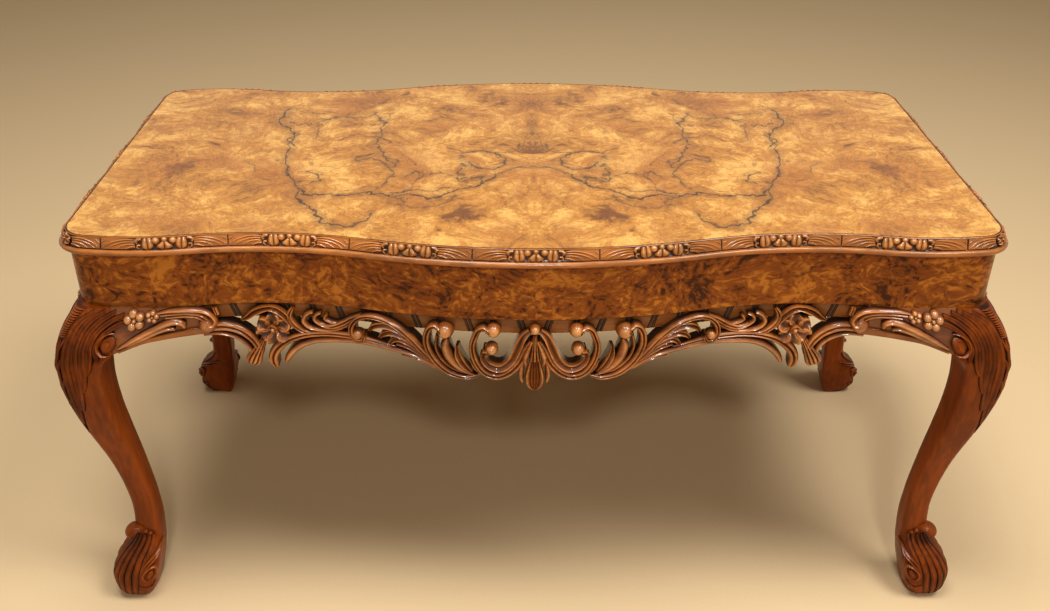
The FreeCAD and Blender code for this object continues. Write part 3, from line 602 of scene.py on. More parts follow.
band_walnut = polished("band_walnut", DEEP, BAND_BODY, BAND_RUBBED_AND_LIT, (5, 45, 45))
BAND_SECTION = [
    (BAND_BACK, BAND_LOW),
    (BAND_FACE - 1.0, BAND_LOW),
    (BAND_FACE, BAND_LOW + 1.0),
    (BAND_FACE, FRIEZE_LOW),
    (BAND_BACK, FRIEZE_LOW),
]
for face, reach in BAND_ENDS.items():
    band = new_work()
    end = run_at(reach) if face in ("front", "back") else reach
    # The face is darker at its top, painted shade under the frieze, and lighter at its lower edge.
    strip(band, face, -end, end, BAND_SECTION, wear_and_shade=[0.2, 0.4, 0.7, 0.35, 0.1])

    def band_place(along, up, out):
        return edge_place(face, along, BAND_FACE + out, up)

    for number in range(int((end - 4) / FLUTE_PITCH)):
        for sign in (1, -1):
            for shift in (-FLUTE_GAP, FLUTE_GAP):
                centre = sign * (number + 0.5) * FLUTE_PITCH + shift
                low = (centre - sign * FLUTE_LEAN, BAND_LOW + 1.2, FLUTE_WIDTH, 1.0)
                high = (centre + sign * FLUTE_LEAN, FRIEZE_LOW - 0.4, FLUTE_WIDTH, 1.0)
                # Each flute is a low dark reed on the face, painted shade of a cut groove.
                member(band, band_place, [low, high], reeds(1, 0.2, 1.0), 0.4, 9.0, 0.12)
    finish_piece(band, f"fluted_band_{face}", band_walnut, "band_walnut", f"band_{face}")

# Pierced apron: one walnut board a side, bow-cut and carved right through with a cartouche
# of scrolls and balls in the middle, and on the long sides acanthus, flowers and reeded
# scrolls to each side of it.
# Each member is given on one half, as distance from the middle, height, width and relief.
APRON_GROUND = -1.0
APRON_BACK = 11.0
CARVED_BODY, CARVED_RUBBED_AND_LIT = (0.350, 0.098, 0.0150, 1), (0.76, 0.330, 0.100, 1)
carved_walnut = polished(
    "carved_walnut", DEEP, CARVED_BODY, CARVED_RUBBED_AND_LIT, (6, 40, 40), coat=0.70, gloss=0.10
)
# A shell's section: a smooth rim round three flutes
SHELL = mirrored_section(
    [(-1, 0, 0.1), (-0.93, 0.85, 0.8), (-0.80, 1.0, 1.0), (-0.66, 0.8, 0.5), (-0.5, 0.5, 0.1),
     (-0.33, 0.66, 0.55), (-0.16, 0.45, 0.1), (0, 0.66, 0.55)]
)
REED, PAIR, TRIPLE = reeds(1, 0.1, 1.0, True), reeds(2, 0.3, 0.6), reeds(3, 0.3, 0.5)
FAN = reeds(4, 0.3, 0.45)
GOUGE, HOLLOW, PETAL = gouged(0.45), gouged(0.65), gouged(0.5)
CARTOUCHE = [
    # the tongue that hangs in the middle, and the leaflets beside it
    (TRIPLE, [(0, 413, 5, 6), (0, 398, 7, 8), (0, 380, 13, 8.5)]),
    (SHELL, [(0, 388, 8, 5), (0, 374, 14.5, 7.5), (0, 362, 20.5, 8.8), (0, 352, 21, 9),
             (0, 345, 16, 8.2), (0, 340.6, 9, 6), (0, 338, 3.4, 2.5)]),
    (REED, [(3, 405, 4, 6), (8.4, 392, 8, 9), (11, 382, 8.6, 9.4), (10, 374, 5, 6.5)]),
    (REED, [(9, 386, 3, 3), (14, 374, 6, 5), (15.5, 361, 7, 5.5), (14.5, 351, 5, 4),
            (14, 347, 2, 2)]),
    # the inner scroll that curls up to the lower ball
    (GOUGE, [(6, 418, 6, 5), (13, 412, 9, 8), (19, 398, 10.5, 9), (26, 381, 10.5, 9),
             (36, 370.5, 10.5, 8.5), (46, 370, 10, 8.5), (54.4, 376, 9, 8.5),
             (58.4, 384.6, 7.4, 9), (56.8, 391, 6, 11), (52.8, 391.6, 4.6, 12.5)]),
    # the outer scroll that runs beside it and up to the upper ball
    (PAIR, [(4, 404, 5, 4), (10, 394, 9, 6.5), (17, 377, 10.5, 7.5), (29, 363, 10.5, 8),
            (43, 357, 10, 8), (57, 362, 9.5, 8), (67, 377, 8.5, 7.5), (70.5, 396, 8, 7.5),
            (67, 410, 8, 8), (63, 419, 7.8, 9), (57, 423.4, 7, 11), (52.6, 421.4, 5.6, 13),
            (53.4, 418, 3.6, 12)]),
    (REED, [(43, 353.5, 2, 3), (56, 357.5, 4, 5), (68, 366, 4.5, 5), (73, 376, 2, 3)]),
    # the next scroll out, round the bud to the outer ball
    (PAIR, [(64, 356.5, 3, 4), (76, 353.5, 6, 6), (92, 356.5, 8, 7), (105, 365, 9, 7.5),
            (116, 379, 9.5, 8), (122, 395, 9, 8), (121.6, 409, 8.6, 8.5), (117, 419, 8.2, 9.5),
            (111, 423, 7.2, 12), (106.6, 420.4, 5.8, 14), (107.6, 416.6, 3.8, 13)]),
    (REED, [(74, 357, 3, 3), (92, 364, 4, 5), (106, 377, 4.5, 5.5), (112, 393, 4, 5.5),
            (110, 408, 3.5, 5)]),
    (REED, [(98.6, 405, 5, 6), (101, 397, 11, 9.5), (98, 384, 13, 10), (90.6, 371.6, 10.5, 8.5),
            (80, 362, 6.4, 6), (69, 356, 3, 3)]),
    (HOLLOW, [(88, 394, 4, 4), (86.4, 383, 8.4, 6.5), (80.6, 371, 8.4, 6.5), (72, 360.6, 4, 4)]),
]
CARTOUCHE_BALLS = [(0, 421, 6.2, 11.5), (46.4, 419, 8.8, 13), (48.6, 394.4, 7.8, 12.5),
                   (100.6, 415.6, 10, 14)]
# Eyes that the scrolls curl round: small balls in the colour of the depths, painted shade
CARTOUCHE_EYES = [(50.9, 418.2, 1.7, 14), (51.2, 393.2, 1.6, 13.4), (105, 416.8, 1.9, 15.4)]
WING = [
    # reeded scrolls along the lower edge, from the cartouche out to the flower
    (REED, [(108, 362, 3, 4), (126, 373, 6, 5.5), (142, 379.5, 7, 6), (163, 384, 7.5, 6.5),
            (183, 387, 7.5, 6.5), (204, 388, 7.5, 6.5), (226, 387, 8, 6.5), (251, 384, 8.5, 7),
            (268, 377.5, 9, 7.5), (280, 368.5, 9, 8), (287, 359.5, 8, 7.5), (290, 353, 5, 5)]),
    (PAIR, [(158, 386.5, 3, 3), (173, 389.5, 6, 5.5), (194, 393, 8, 6.5), (213, 395, 9, 7),
            (238, 395.5, 9, 7.5), (263, 392, 9.5, 8), (283, 384.5, 10.5, 8.5),
            (297, 374, 12, 9), (304, 362, 12, 9.5), (304, 351, 11, 8), (302, 345, 6, 4)]),
    # acanthus leaf: spine, volute at its head and the lobes inside it
    (PAIR, [(104, 358, 2, 2), (114, 370, 5, 6), (127, 386, 8, 8.5), (142, 404, 8.5, 9),
            (157, 416.5, 8, 9), (172, 423, 7.5, 8.5), (187, 424.5, 7.5, 8.5),
            (199, 420.5, 7.5, 9), (207, 411, 7.5, 9.5), (208.5, 400, 7.5, 9.5),
            (203, 391.5, 7, 9.5), (195.5, 391.5, 6, 9.5), (193, 397.5, 4.5, 10)]),
    (GOUGE, [(126, 388, 4, 4), (139, 402, 7, 7), (153, 412, 8.5, 8), (169, 416, 8.5, 8.5),
             (182, 412.5, 7, 8.5), (187, 405, 4, 6)]),
    (GOUGE, [(122, 382, 4, 4), (134, 394, 7, 6.5), (148, 403.5, 8, 7.5), (162, 407, 7.5, 8),
             (172, 403, 6, 7.5), (176, 397, 3.5, 5)]),
    (GOUGE, [(116, 373, 4, 4), (129, 386, 7, 6), (143, 396, 7.5, 7), (155, 399, 6.5, 7),
             (163, 394, 5.5, 7), (164, 387, 3.5, 5)]),
    (REED, [(118, 369, 3, 3), (131, 380, 5, 5), (145, 388, 5.5, 5.5), (157, 390, 4, 4)]),
    (REED, [(112, 362, 3, 3), (126, 370, 4, 4), (140, 375, 4, 4), (152, 376, 2, 3)]),
    # stem that carries the leaf on to the shell of reeds under the frieze
    (PAIR, [(196, 425, 4, 6), (208, 418, 7, 7), (220, 410, 8, 7.5), (234, 405, 8, 7.5),
            (247, 408, 6, 6)]),
    (REED, [(206, 413, 3, 4), (222, 403, 5, 6), (240, 399.5, 6, 7), (257, 402.5, 7, 8),
            (264, 411, 7, 8.5), (259, 420, 6.5, 8.5), (252, 423, 5, 7)]),
    (REED, [(214, 405, 3, 4), (230, 404, 5, 6), (244, 407, 6, 7), (251, 414, 6, 8),
            (248, 420, 5, 8), (243, 422, 3.5, 6)]),
    (REED, [(221, 410, 3, 5), (232, 411, 5, 6.5), (239, 416, 5, 7.5), (236, 420.5, 4, 6)]),
    (PAIR, [(207, 391, 2, 3), (224, 395.5, 5, 5), (248, 394, 7, 6.5), (263, 396, 8, 7.5),
            (274, 404, 8.5, 8), (279.5, 414, 8, 8), (278.5, 422, 7, 8), (275, 427, 4, 6)]),
    # hood of two leaves over the flower
    (HOLLOW, [(274, 399, 3, 4), (279.5, 408, 6, 7), (285, 418, 8.5, 8.5), (295, 426, 9, 8.5),
              (306, 427, 7, 7), (312, 424, 4, 5)]),
    (HOLLOW, [(297, 427.5, 4, 6), (309, 426.5, 8, 8.5), (320, 421.5, 8.5, 8),
              (329, 414, 6, 6), (336, 410, 2.5, 3)]),
    # arch of two reeds that runs out to the knee bracket
    (PAIR, [(380, 402.5, 13, 6), (368, 403.5, 13, 6.5), (355, 403.5, 13, 7.5),
            (343, 400, 13, 8), (332, 393, 12, 8.5), (324, 383, 11, 8.5), (319.5, 371, 8, 7),
            (318, 362, 4, 4)]),
    (REED, [(380, 393, 5.5, 4), (366, 394, 5.5, 5), (352, 391, 6, 5.5), (340, 384.5, 6, 6),
            (332.5, 375.5, 6.5, 6), (329.5, 367, 6, 5.5), (331, 360, 4, 3)]),
    # fan under the flower
    (FAN, [(313, 384, 8, 6), (319, 373, 12, 8), (325, 362, 17, 8.5), (329, 353.5, 19, 7.5),
           (331, 348.5, 12, 3)]),
]
WING_BALLS = [(201, 398.5, 6.5, 11)]
FLOWER_ALONG, FLOWER_UP = 300, 399.5
# A petal's line as shares: how far out, how far round, width, relief
PETAL_SHARES = [(0.14, 0, 0.35, 0.5), (0.42, 0, 0.80, 0.82), (0.72, 1, 1, 1),
                (0.93, 1, 0.8, 0.9), (1.02, 1, 0.35, 0.5)]


def flower(work, place, along, up, radius, height, turn):
    """Open flower: six cupped petals round a small curl."""
    width = 2.15 * radius * math.sin(math.pi / 6)
    for petal in range(6):
        angle = turn + math.tau * petal / 6
        reach = Vector((math.cos(angle), math.sin(angle))) * radius
        bend = Vector((-reach.y, reach.x)) * 0.16
        points = []
        for far, bent, wide, high in PETAL_SHARES:
            spot = (along + reach.x * far + bend.x * bent, up + reach.y * far + bend.y * bent)
            points.append((*spot, width * wide, height * high))
        member(work, place, points, PETAL, 2.0, 2.5)
    boss(work, place, along, up, radius * 0.22, height * 1.15)
    curl = []
    for t in range(5):
        reach = radius * 0.34 * (1 - t / 9)
        spot = (along + reach * math.cos(turn + t), up + reach * math.sin(turn + t))
        curl.append((*spot, radius * 0.16, height * 1.02))
    member(work, place, curl, REED, 1.0, 1.5, 0.9)


def carve(work, place, members, balls, back):
    """Carves a half pattern on both sides of the middle."""
    for sign in (1, -1):
        half = on_side(place, sign)
        for section, points in members:
            if sign > 0 or any(point[0] for point in points):
                member(work, half, points, section, back)
        for along, up, radius, height in balls:
            if along or sign > 0:
                boss(work, half, along, up, radius, height, 20, 1.0, back / height * 0.6)


for face in BAND_ENDS:
    apron = new_work()
    long_side = face in ("front", "back")

    def apron_place(along, up, out):
        run = math.copysign(run_at(abs(along)), along) if long_side else along
        return edge_place(face, run, APRON_GROUND + out, up)

    carve(apron, apron_place, CARTOUCHE, CARTOUCHE_BALLS, APRON_BACK)
    for sign in (1, -1):
        for along, *rest in CARTOUCHE_EYES:
            boss(apron, apron_place, sign * along, *rest, 10, 0.0, 0.5)
    if long_side:
        carve(apron, apron_place, WING, WING_BALLS, APRON_BACK)
        for sign in (1, -1):
            half = on_side(apron_place, sign)
            flower(apron, half, FLOWER_ALONG, FLOWER_UP, 19.0, 10.5, 0.35)
            # A dark disc behind the petals: painted shade between them
            boss(apron, half, FLOWER_ALONG, FLOWER_UP, 15.0, 5.0, 20, 0.1, 2.2)
    finish_piece(apron, f"pierced_apron_{face}", carved_walnut, "carved_walnut", f"apron_{face}")

# Cabriole legs: each one piece of walnut from knee to foot, dowelled up into its corner
# block. An acanthus leaf lies over the knee with a ribbed panel down its corner, and a
# scrolled foot stands under a curled knob.
LEG_INNER_X = 478.0
LEG_INNER_Y = 190.0
KNEE_LOW = 370.2
LEG_RINGS = 145
LEG_BODY, LEG_RUBBED_AND_LIT = (0.268, 0.053, 0.0040, 1), (0.43, 0.120, 0.0130, 1)
# Height, how far the outer faces stand out past the top's edge, width, outer and side
# corner radius
LEG_SECTIONS = [
    (0.0, 19.5, 39.0, 16.0, 14.0), (6.5, 24.2, 46.8, 18.0, 14.5), (14.0, 27.0, 51.6, 20.0, 15.0),
    (25.0, 28.5, 55.5, 22.0, 15.0), (41.0, 28.0, 58.6, 23.0, 15.0), (52.0, 23.3, 55.5, 21.0, 15.0),
    (63.0, 15.0, 48.8, 17.0, 14.0), (74.0, 3.4, 38.0, 13.0, 12.0), (83.0, -3.2, 32.0, 10.0, 10.0),
    (93.0, -4.6, 31.2, 8.6, 8.6), (105.0, -5.5, 30.6, 7.8, 7.8), (117.0, -6.4, 29.6, 7.3, 7.3),
    (132.0, -6.7, 28.7, 6.9, 6.9), (150.0, -5.6, 29.0, 6.8, 6.8), (180.0, -2.2, 30.1, 7.1, 7.1),
    (216.0, 4.1, 33.2, 7.8, 7.8), (254.0, 13.1, 38.4, 8.9, 8.9), (290.0, 21.5, 43.6, 9.9, 9.9),
    (327.0, 27.5, 48.3, 10.4, 10.0), (350.0, 29.0, 51.0, 10.4, 8.0), (362.0, 29.0, 52.5, 10.4, 6.0),
    (370.0, 29.0, 55.0, 10.4, 4.0), (377.0, 28.2, 60.0, 11.2, 2.0), (383.0, 27.0, 66.5, 12.0, 1.0),
    (391.0, 25.3, 65.3, 13.0, 1.0), (411.0, 17.7, 57.7, 16.6, 1.0), (423.0, 10.4, 50.4, 18.7, 1.0),
    (432.5, 3.0, 43.0, 20.8, 1.0),
]
LEAF_DEPTH, FOOT_DEPTH = 2.6, 2.2
# Height, and how far round from the corner the ribs and the leaf on the knee reach there
RIB_REACH = [(404, 6), (412, 6), (420, 7), (427, 9.5), (435, 14)]
LEAF_EDGE = [(258, 2), (281, 4), (305, 11), (334, 21), (358, 31), (376, 45), (390, 52), (432, 80)]
# Heights between which the leaf sets in, its ground gives way to the ribs, and the foot's
# carving ends; then how far round the foot's carving reaches, at most and by height
LEAF_START, RIBS_START, FOOT_END = (258, 285), (421, 430), (86, 100)
FOOT_REACH, FOOT_EDGE, FOOT_EDGE_HEIGHT, FOOT_EDGE_SLOPE = 58, 30, 85, 1.15
RIB_TOP, RIB_PITCH, RIB_COUNT = 430.4, 2.2, 13
leg_walnut = polished(
    "leg_walnut", DEEP, LEG_BODY, LEG_RUBBED_AND_LIT, (30, 30, 5), 0.10, coat=0.16, gloss=0.12, shine=0.05
)


def leg_section(height):
    """Outer reach, width and corner radii at a height, smooth between the sections."""
    height = max(0.0, min(FRIEZE_LOW, height))
    number = max(i for i, row in enumerate(LEG_SECTIONS[:-1]) if row[0] <= height)
    low, high = LEG_SECTIONS[number], LEG_SECTIONS[number + 1]
    before = LEG_SECTIONS[max(0, number - 1)]
    after = LEG_SECTIONS[min(len(LEG_SECTIONS) - 1, number + 2)]
    span = high[0] - low[0]
    t = (height - low[0]) / span
    values = []
    for k in range(1, 5):
        start = (high[k] - before[k]) / (high[0] - before[0]) * span
        end = (after[k] - low[k]) / (after[0] - low[0]) * span
        values.append(
            (2 * t**3 - 3 * t**2 + 1) * low[k]
            + (t**3 - 2 * t**2 + t) * start
            + (3 * t**2 - 2 * t**3) * high[k]
            + (t**3 - t**2) * end
        )
    return values


def soft_step(value, low, high):
    """0 below low and 1 above high, smooth between."""
    t = max(0.0, min(1.0, (value - low) / (high - low)))
    return t * t * (3 - 2 * t)


def read_off(table, value):
    """What a table of (place, value) rows gives at a place, straight between its rows."""
    low, high = table[0], table[1]
    for low, high in zip(table, table[1:]):
        if value <= high[0]:
            break
    share = max(0.0, min(1.0, (value - low[0]) / (high[0] - low[0])))
    return low[1] + (high[1] - low[1]) * share


def carved_away(far, height):
    """How far the ground lies under the leg's outline where leaf or foot is carved on it."""
    edge = read_off(LEAF_EDGE, height)
    ribs = read_off(RIB_REACH, height)
    leaf = soft_step(height, *LEAF_START) * (1 - soft_step(far, edge - 1, edge + 5))
    leaf *= 1 - soft_step(height, *RIBS_START) * soft_step(far, ribs, ribs + 3)
    edge = min(FOOT_REACH, FOOT_EDGE + FOOT_EDGE_SLOPE * (FOOT_EDGE_HEIGHT - height))
    foot = (1 - soft_step(height, *FOOT_END)) * (1 - soft_step(far, edge - 3, edge + 4))
    return LEAF_DEPTH * leaf + FOOT_DEPTH * foot


def leg_stretches(height):
    """Outer reach, width, radii, and the lengths of half the corner's bend, the flat beside
    it and the bend at the side."""
    outer, width, radius, side_radius = leg_section(height)
    flat = width - radius - side_radius
    return outer, width, radius, side_radius, math.pi / 4 * radius, flat, math.pi / 2 * side_radius


def leg_surface(corner, along, height, out, wrap=True):
    """Place on a leg: along is how far round from its outer corner, more than 0 on the
    face along the table's long side. Without wrap the outer face runs on flat."""
    outer, width, radius, side_radius, bend, flat, turn = leg_stretches(height)
    far = abs(along)
    out -= carved_away(far, height)
    if far < bend:
        angle = math.pi / 4 + far / radius
        first = outer - radius + (radius + out) * math.cos(angle)
        second = outer - radius + (radius + out) * math.sin(angle)
    elif far < bend + flat or not wrap:
        first = outer - radius - (far - bend)
        second = outer + out
    elif far < bend + flat + turn:
        angle = math.pi / 2 + (far - bend - flat) / side_radius
        first = outer - width + side_radius + (side_radius + out) * math.cos(angle)
        second = outer - side_radius + (side_radius + out) * math.sin(angle)
    else:
        first = outer - width - out
        second = outer - side_radius - (far - bend - flat - turn)
    if along < 0:
        first, second = second, first
    hand, way = SIDES[corner]
    return Vector((hand * (HALF_LENGTH + first), way * (HALF_DEPTH + second), height))


def leg_ring(corner, height):
    """Closed outline of a leg at a height, and each point's tone: the ground sunk round the
    carving is darker there, painted shade.
    """
    _, width, _, side_radius, bend, flat, turn = leg_stretches(height)
    inner = width - side_radius - 2.0
    stops = [bend * i / 6 for i in range(6)] + [bend + flat * i / 9 for i in range(9)]
    stops += [bend + flat + turn * i / 6 for i in range(6)]
    stops += [bend + flat + turn + inner * i / 5 for i in range(6)]
    order = stops + [-stop for stop in reversed(stops[1:])]
    shade = 0.44 if height > 200 else 0.30
    sunk = [min(1.0, carved_away(abs(stop), height) / LEAF_DEPTH) for stop in order]
    ring = [leg_surface(corner, stop, height, 0.0) for stop in order]
    return ring, [0.62 - shade * depth for depth in sunk]


FEATHER = [(-1, 0, 0.1), (-0.93, 0.5, 0.25), (-0.74, 0.84, 0.58), (-0.42, 0.95, 0.62),
           (-0.12, 0.88, 0.46), (0.1, 0.88, 0.48), (0.42, 1.0, 0.70), (0.74, 0.9, 0.68),
           (0.93, 0.55, 0.3), (1, 0, 0.1)]
LEAFLET = mirrored_section([(-1, 0, 0.05), (-0.75, 0.7, 0.5), (0, 1, 0.85)])
# Distance round from the corner, height, width, relief
KNEE_LEAF = [
    (0, 400, 3, 1.4), (0, 386, 8, 2.5), (0, 362, 9.5, 2.7), (0, 340, 9, 2.7), (0, 318, 8.5, 2.7),
    (0, 298, 7, 2.6), (0, 280, 5, 2.4), (0, 264, 1.5, 0.4),
]
KNEE_FEATHERS = [
    [(25, 429, 8, 0.6), (16, 420, 11, 2.0), (13, 406, 12, 2.6), (12.5, 391, 12, 2.7),
     (12, 374, 12, 2.7), (11.5, 357, 12, 2.7), (11, 339, 11.5, 2.7), (10, 322, 11, 2.6),
     (8, 307, 9.5, 2.6), (5.2, 293, 7.5, 2.5), (3, 283, 5, 2.2), (2.2, 279.5, 1.5, 0.6)],
    [(36, 429, 8, 0.6), (27, 421, 10, 2.1), (23, 409, 10.4, 2.8), (21.5, 393, 10.2, 2.9),
     (22, 372, 10.8, 2.9), (21.8, 352, 11, 2.8), (20, 333, 10.6, 2.8), (16.5, 317, 9.4, 2.7),
     (13.8, 307, 7, 2.5), (13, 303.5, 1.5, 0.8)],
    [(48, 428.6, 7.5, 0.6), (38.5, 421, 9.4, 2.2), (32, 409, 9.6, 3.0), (30, 393, 9.4, 3.1),
     (30.8, 376, 10, 3.1), (30.4, 359, 10.6, 3.0), (28, 346, 9.8, 2.8), (24.6, 336.5, 7, 2.6),
     (23.6, 333, 1.5, 0.8)],
    [(60, 426, 6.5, 1.2), (49, 419.5, 8.4, 2.6), (40.5, 408.5, 8.8, 3.3), (37.6, 394, 8.6, 3.4),
     (38.8, 379, 9.4, 3.2), (38, 368, 8.6, 3.0), (34.6, 360.5, 6.5, 2.7), (33.4, 357, 1.5, 1)],
    [(69, 420, 6, 2.6), (58, 415.5, 7.2, 3.3), (48.8, 406, 7.4, 3.8), (44.8, 394, 7.4, 3.9),
     (46, 384.5, 7, 3.5), (48.6, 379, 5.5, 2.8), (50.2, 376.5, 1.5, 1)],
]
CORNER_LEAFLETS = [
    [(6.6, 402, 3, 1.8), (4.2, 394, 5, 2.9), (1.8, 386, 2.5, 2.2)],
    [(6.2, 378, 3, 1.8), (3.8, 369, 5, 3.0), (1.8, 361, 2.5, 2.4)],
    [(5.8, 350, 3, 1.8), (3.6, 341, 4.8, 3.0), (1.8, 333, 2.5, 2.4)],
    [(5.2, 322, 3, 1.8), (3.2, 313, 4.4, 2.9), (1.6, 305, 2.2, 2.2)],
]
FOOT_RIDGES = [
    [(0, 84, 4, 1.4), (0, 74, 6, 1.8), (0, 60, 8.5, 2.1), (0, 45, 9.5, 2.2), (0, 28, 9, 2.1),
     (0, 12, 6, 1.6), (0, 4, 3, 0.8)],
    [(4.6, 85, 4, 1.5), (6.6, 74, 6, 2), (8.8, 61, 8.5, 2.3), (9.6, 46, 9.5, 2.4),
     (9, 29, 9, 2.3), (7.4, 12, 6, 1.6), (6.4, 5, 3, 0.8)],
    [(10, 86, 4, 1.6), (13, 74, 7, 2.3), (16.6, 62, 9, 2.6), (19, 47, 10, 2.8),
     (18.6, 30, 9.5, 2.5), (15.6, 13, 6.5, 1.8), (13.6, 5, 3, 0.8)],
    [(16, 86, 4, 1.8), (20, 75, 7, 2.5), (24.6, 63, 9, 2.9), (28, 49, 10, 2.9),
     (28.4, 32, 9.5, 2.5), (24.4, 15, 6.5, 1.8), (21, 6, 3, 0.8)],
    [(22, 86, 4, 2.2), (25.6, 77, 6.4, 3), (30, 69, 6.4, 3.2), (34.4, 61, 3.5, 2)],
    [(32, 24, 3, 1.4), (40, 18, 7, 2.2), (50, 17.5, 7, 2.2), (58, 24, 3, 1.4)],
]
FOOT_CRESCENTS = [
    [(35.4, 52, 2, 1.8), (38.6, 60, 4.6, 4.2), (43.6, 67, 4.8, 4.4), (50, 73, 2, 1.8)],
    [(39.6, 50, 2, 1.8), (43, 57, 4.4, 4.2), (47.6, 62.4, 4.6, 4.2), (53, 67.6, 2, 1.6)],
]
# Beads beside the knob: distance round from the corner, height, radius, relief
FOOT_BEADS = [(12.4, 91.4, 3.8, 4.0), (18.2, 88.0, 3.4, 3.6)]
# Scrolls' eyes: distance round from the corner, height, radius, collar, height of the
# button, and the angles between which the collar runs
KNEE_VOLUTE = (57.5, 396.0, 9.2, (12.2, 4.0, 5.4), 4.0, (75, 295))
FOOT_VOLUTE = (47.5, 42.0, 5.4, (9.4, 4.2, 4.2), 4.0, (-70, 260))
# Curled knob in the leg's diagonal plane: reach past the outline, height, half its width
# and half its thickness
TOE_KNOB = [
    (-24, 85.6, 7, 4.2), (-18, 92.6, 9.4, 5.2), (-11, 96.6, 10.8, 5.4), (-4.6, 96.2, 10.6, 4.8),
    (0.2, 93, 9.2, 4.0), (2.0, 89.4, 7, 3.0), (1.2, 87, 4, 1.9), (0, 86.6, 1.6, 1.0),
]
KNOB_SIDES, KNOB_WEAR = 18, 0.60


def volute(work, place, along, up, radius, ring, button, turns):
    """A scroll's eye: a raised collar round part of it, given as radius, width, height, and
    a flat domed button with a fine raised line in the colour of the depths that curls in
    to its middle, painted shade of a groove."""
    first, last = turns
    collar = []
    for number in range(13):
        angle = math.radians(first + (last - first) * number / 12)
        spot = Vector((math.cos(angle), math.sin(angle))) * ring[0]
        fade = min(1.0, 0.3 + 0.25 * min(number, 12 - number))
        collar.append((along + spot.x, up + spot.y, ring[1] * fade, ring[2] * fade))
    member(work, place, collar, LEAFLET, 2.5, 2.2, 1.0)
    boss(work, place, along, up, radius, button, 26, 0.60, 0.5)
    curl = []
    for number in range(9):
        angle = math.radians(last - 35 - 40 * number)
        share = 0.88 - 0.088 * number
        spot = Vector((math.cos(angle), math.sin(angle))) * radius * share
        dome = math.sqrt(1 - share * share) * button
        curl.append((along + spot.x, up + spot.y, 1.3, dome + 0.35))
    member(work, place, curl, LEAFLET, 1.0, 1.6, 0.0)


def knob_rings(hand, way):
    path = smooth_path(TOE_KNOB, 2.0)
    rings = []
    for number, (reach, height, half_width, half_thick) in enumerate(path):
        ahead = heading(path, number)
        ring = []
        for k in range(KNOB_SIDES):
            angle = math.tau * k / KNOB_SIDES
            across, rise = half_width * math.cos(angle), half_thick * math.sin(angle)
            past = reach - ahead.y * rise
            x = HALF_LENGTH + (past + across) * math.sqrt(0.5)
            y = HALF_DEPTH + (past - across) * math.sqrt(0.5)
            ring.append(Vector((hand * x, way * y, height + ahead.x * rise)))
        rings.append(ring)
    return rings


for corner in SIDES:
    leg = new_work()
    levels = [FRIEZE_LOW * number / (LEG_RINGS - 1) for number in range(LEG_RINGS)]
    rings, rubbed_and_lit = zip(*[leg_ring(corner, level) for level in levels])
    draw_out(leg, rings, rubbed_and_lit)

    def on_knee(along, up, out):
        return leg_surface(corner, along, up, out, wrap=False)

    def on_foot(along, up, out):
        return leg_surface(corner, along, up, out)

    for sign in (1, -1):
        knee, foot = on_side(on_knee, sign), on_side(on_foot, sign)
        for points in KNEE_FEATHERS:
            member(leg, knee, points, FEATHER, 2.0, 4.0, 0.56)
        for points in CORNER_LEAFLETS:
            member(leg, knee, points, LEAFLET, 2.0, 4.0, 0.5)
        volute(leg, knee, *KNEE_VOLUTE)
        for points in FOOT_RIDGES:
            member(leg, foot, points, LEAFLET, 2.0, 4.0, 0.5)
        for points in FOOT_CRESCENTS:
            member(leg, foot, points, LEAFLET, 2.0, 3.0, 1.0)
        volute(leg, foot, *FOOT_VOLUTE)
        for bead in FOOT_BEADS:
            boss(leg, foot, *bead, 12, 0.75, 0.5)
    member(leg, on_knee, KNEE_LEAF, LEAFLET, 2.0, 4.5, 0.5)
    for number in range(RIB_COUNT):
        height = RIB_TOP - RIB_PITCH * number
        reach = read_off(RIB_REACH, height)
        rib = [(-reach, height, 0.8, 1.8), (-reach / 2, height, 1.4, 3.4), (0, height, 1.4, 3.6),
               (reach / 2, height, 1.4, 3.4), (reach, height, 0.8, 1.8)]
        member(leg, on_knee, rib, LEAFLET, 1.5, 3.5, 0.95)
    knob = knob_rings(*SIDES[corner])
    draw_out(leg, knob, [[KNOB_WEAR] * KNOB_SIDES] * len(knob))
    finish_piece(leg, f"cabriole_leg_{corner}", leg_walnut, "leg_walnut", f"leg_{corner}")

# Knee brackets: two walnut blocks at each leg that carry the knee's swell along under the
# frieze, carved with two flowers, a reeded leaf that ends in a volute, a second reeded leaf
# and a plain band.
BRACKET_RISE = 24.8
BRACKET_LOW = 381.4
LONG_BRACKET, SHORT_BRACKET = 98.0, 67.0
BRACKET_PROUD = 4.0
BRACKET_GROUND, BRACKET_BACK = -1.5, -16.0
# Its lower edge's rise and its swell, as shares, at thirds of the length from the leg
RISE_SHARES = (0.45, 0.98, 1.08, 1.0, 1.0)
SWELL_SHARES = (0.94, 0.52, 0.2, 0.0, 0.0)
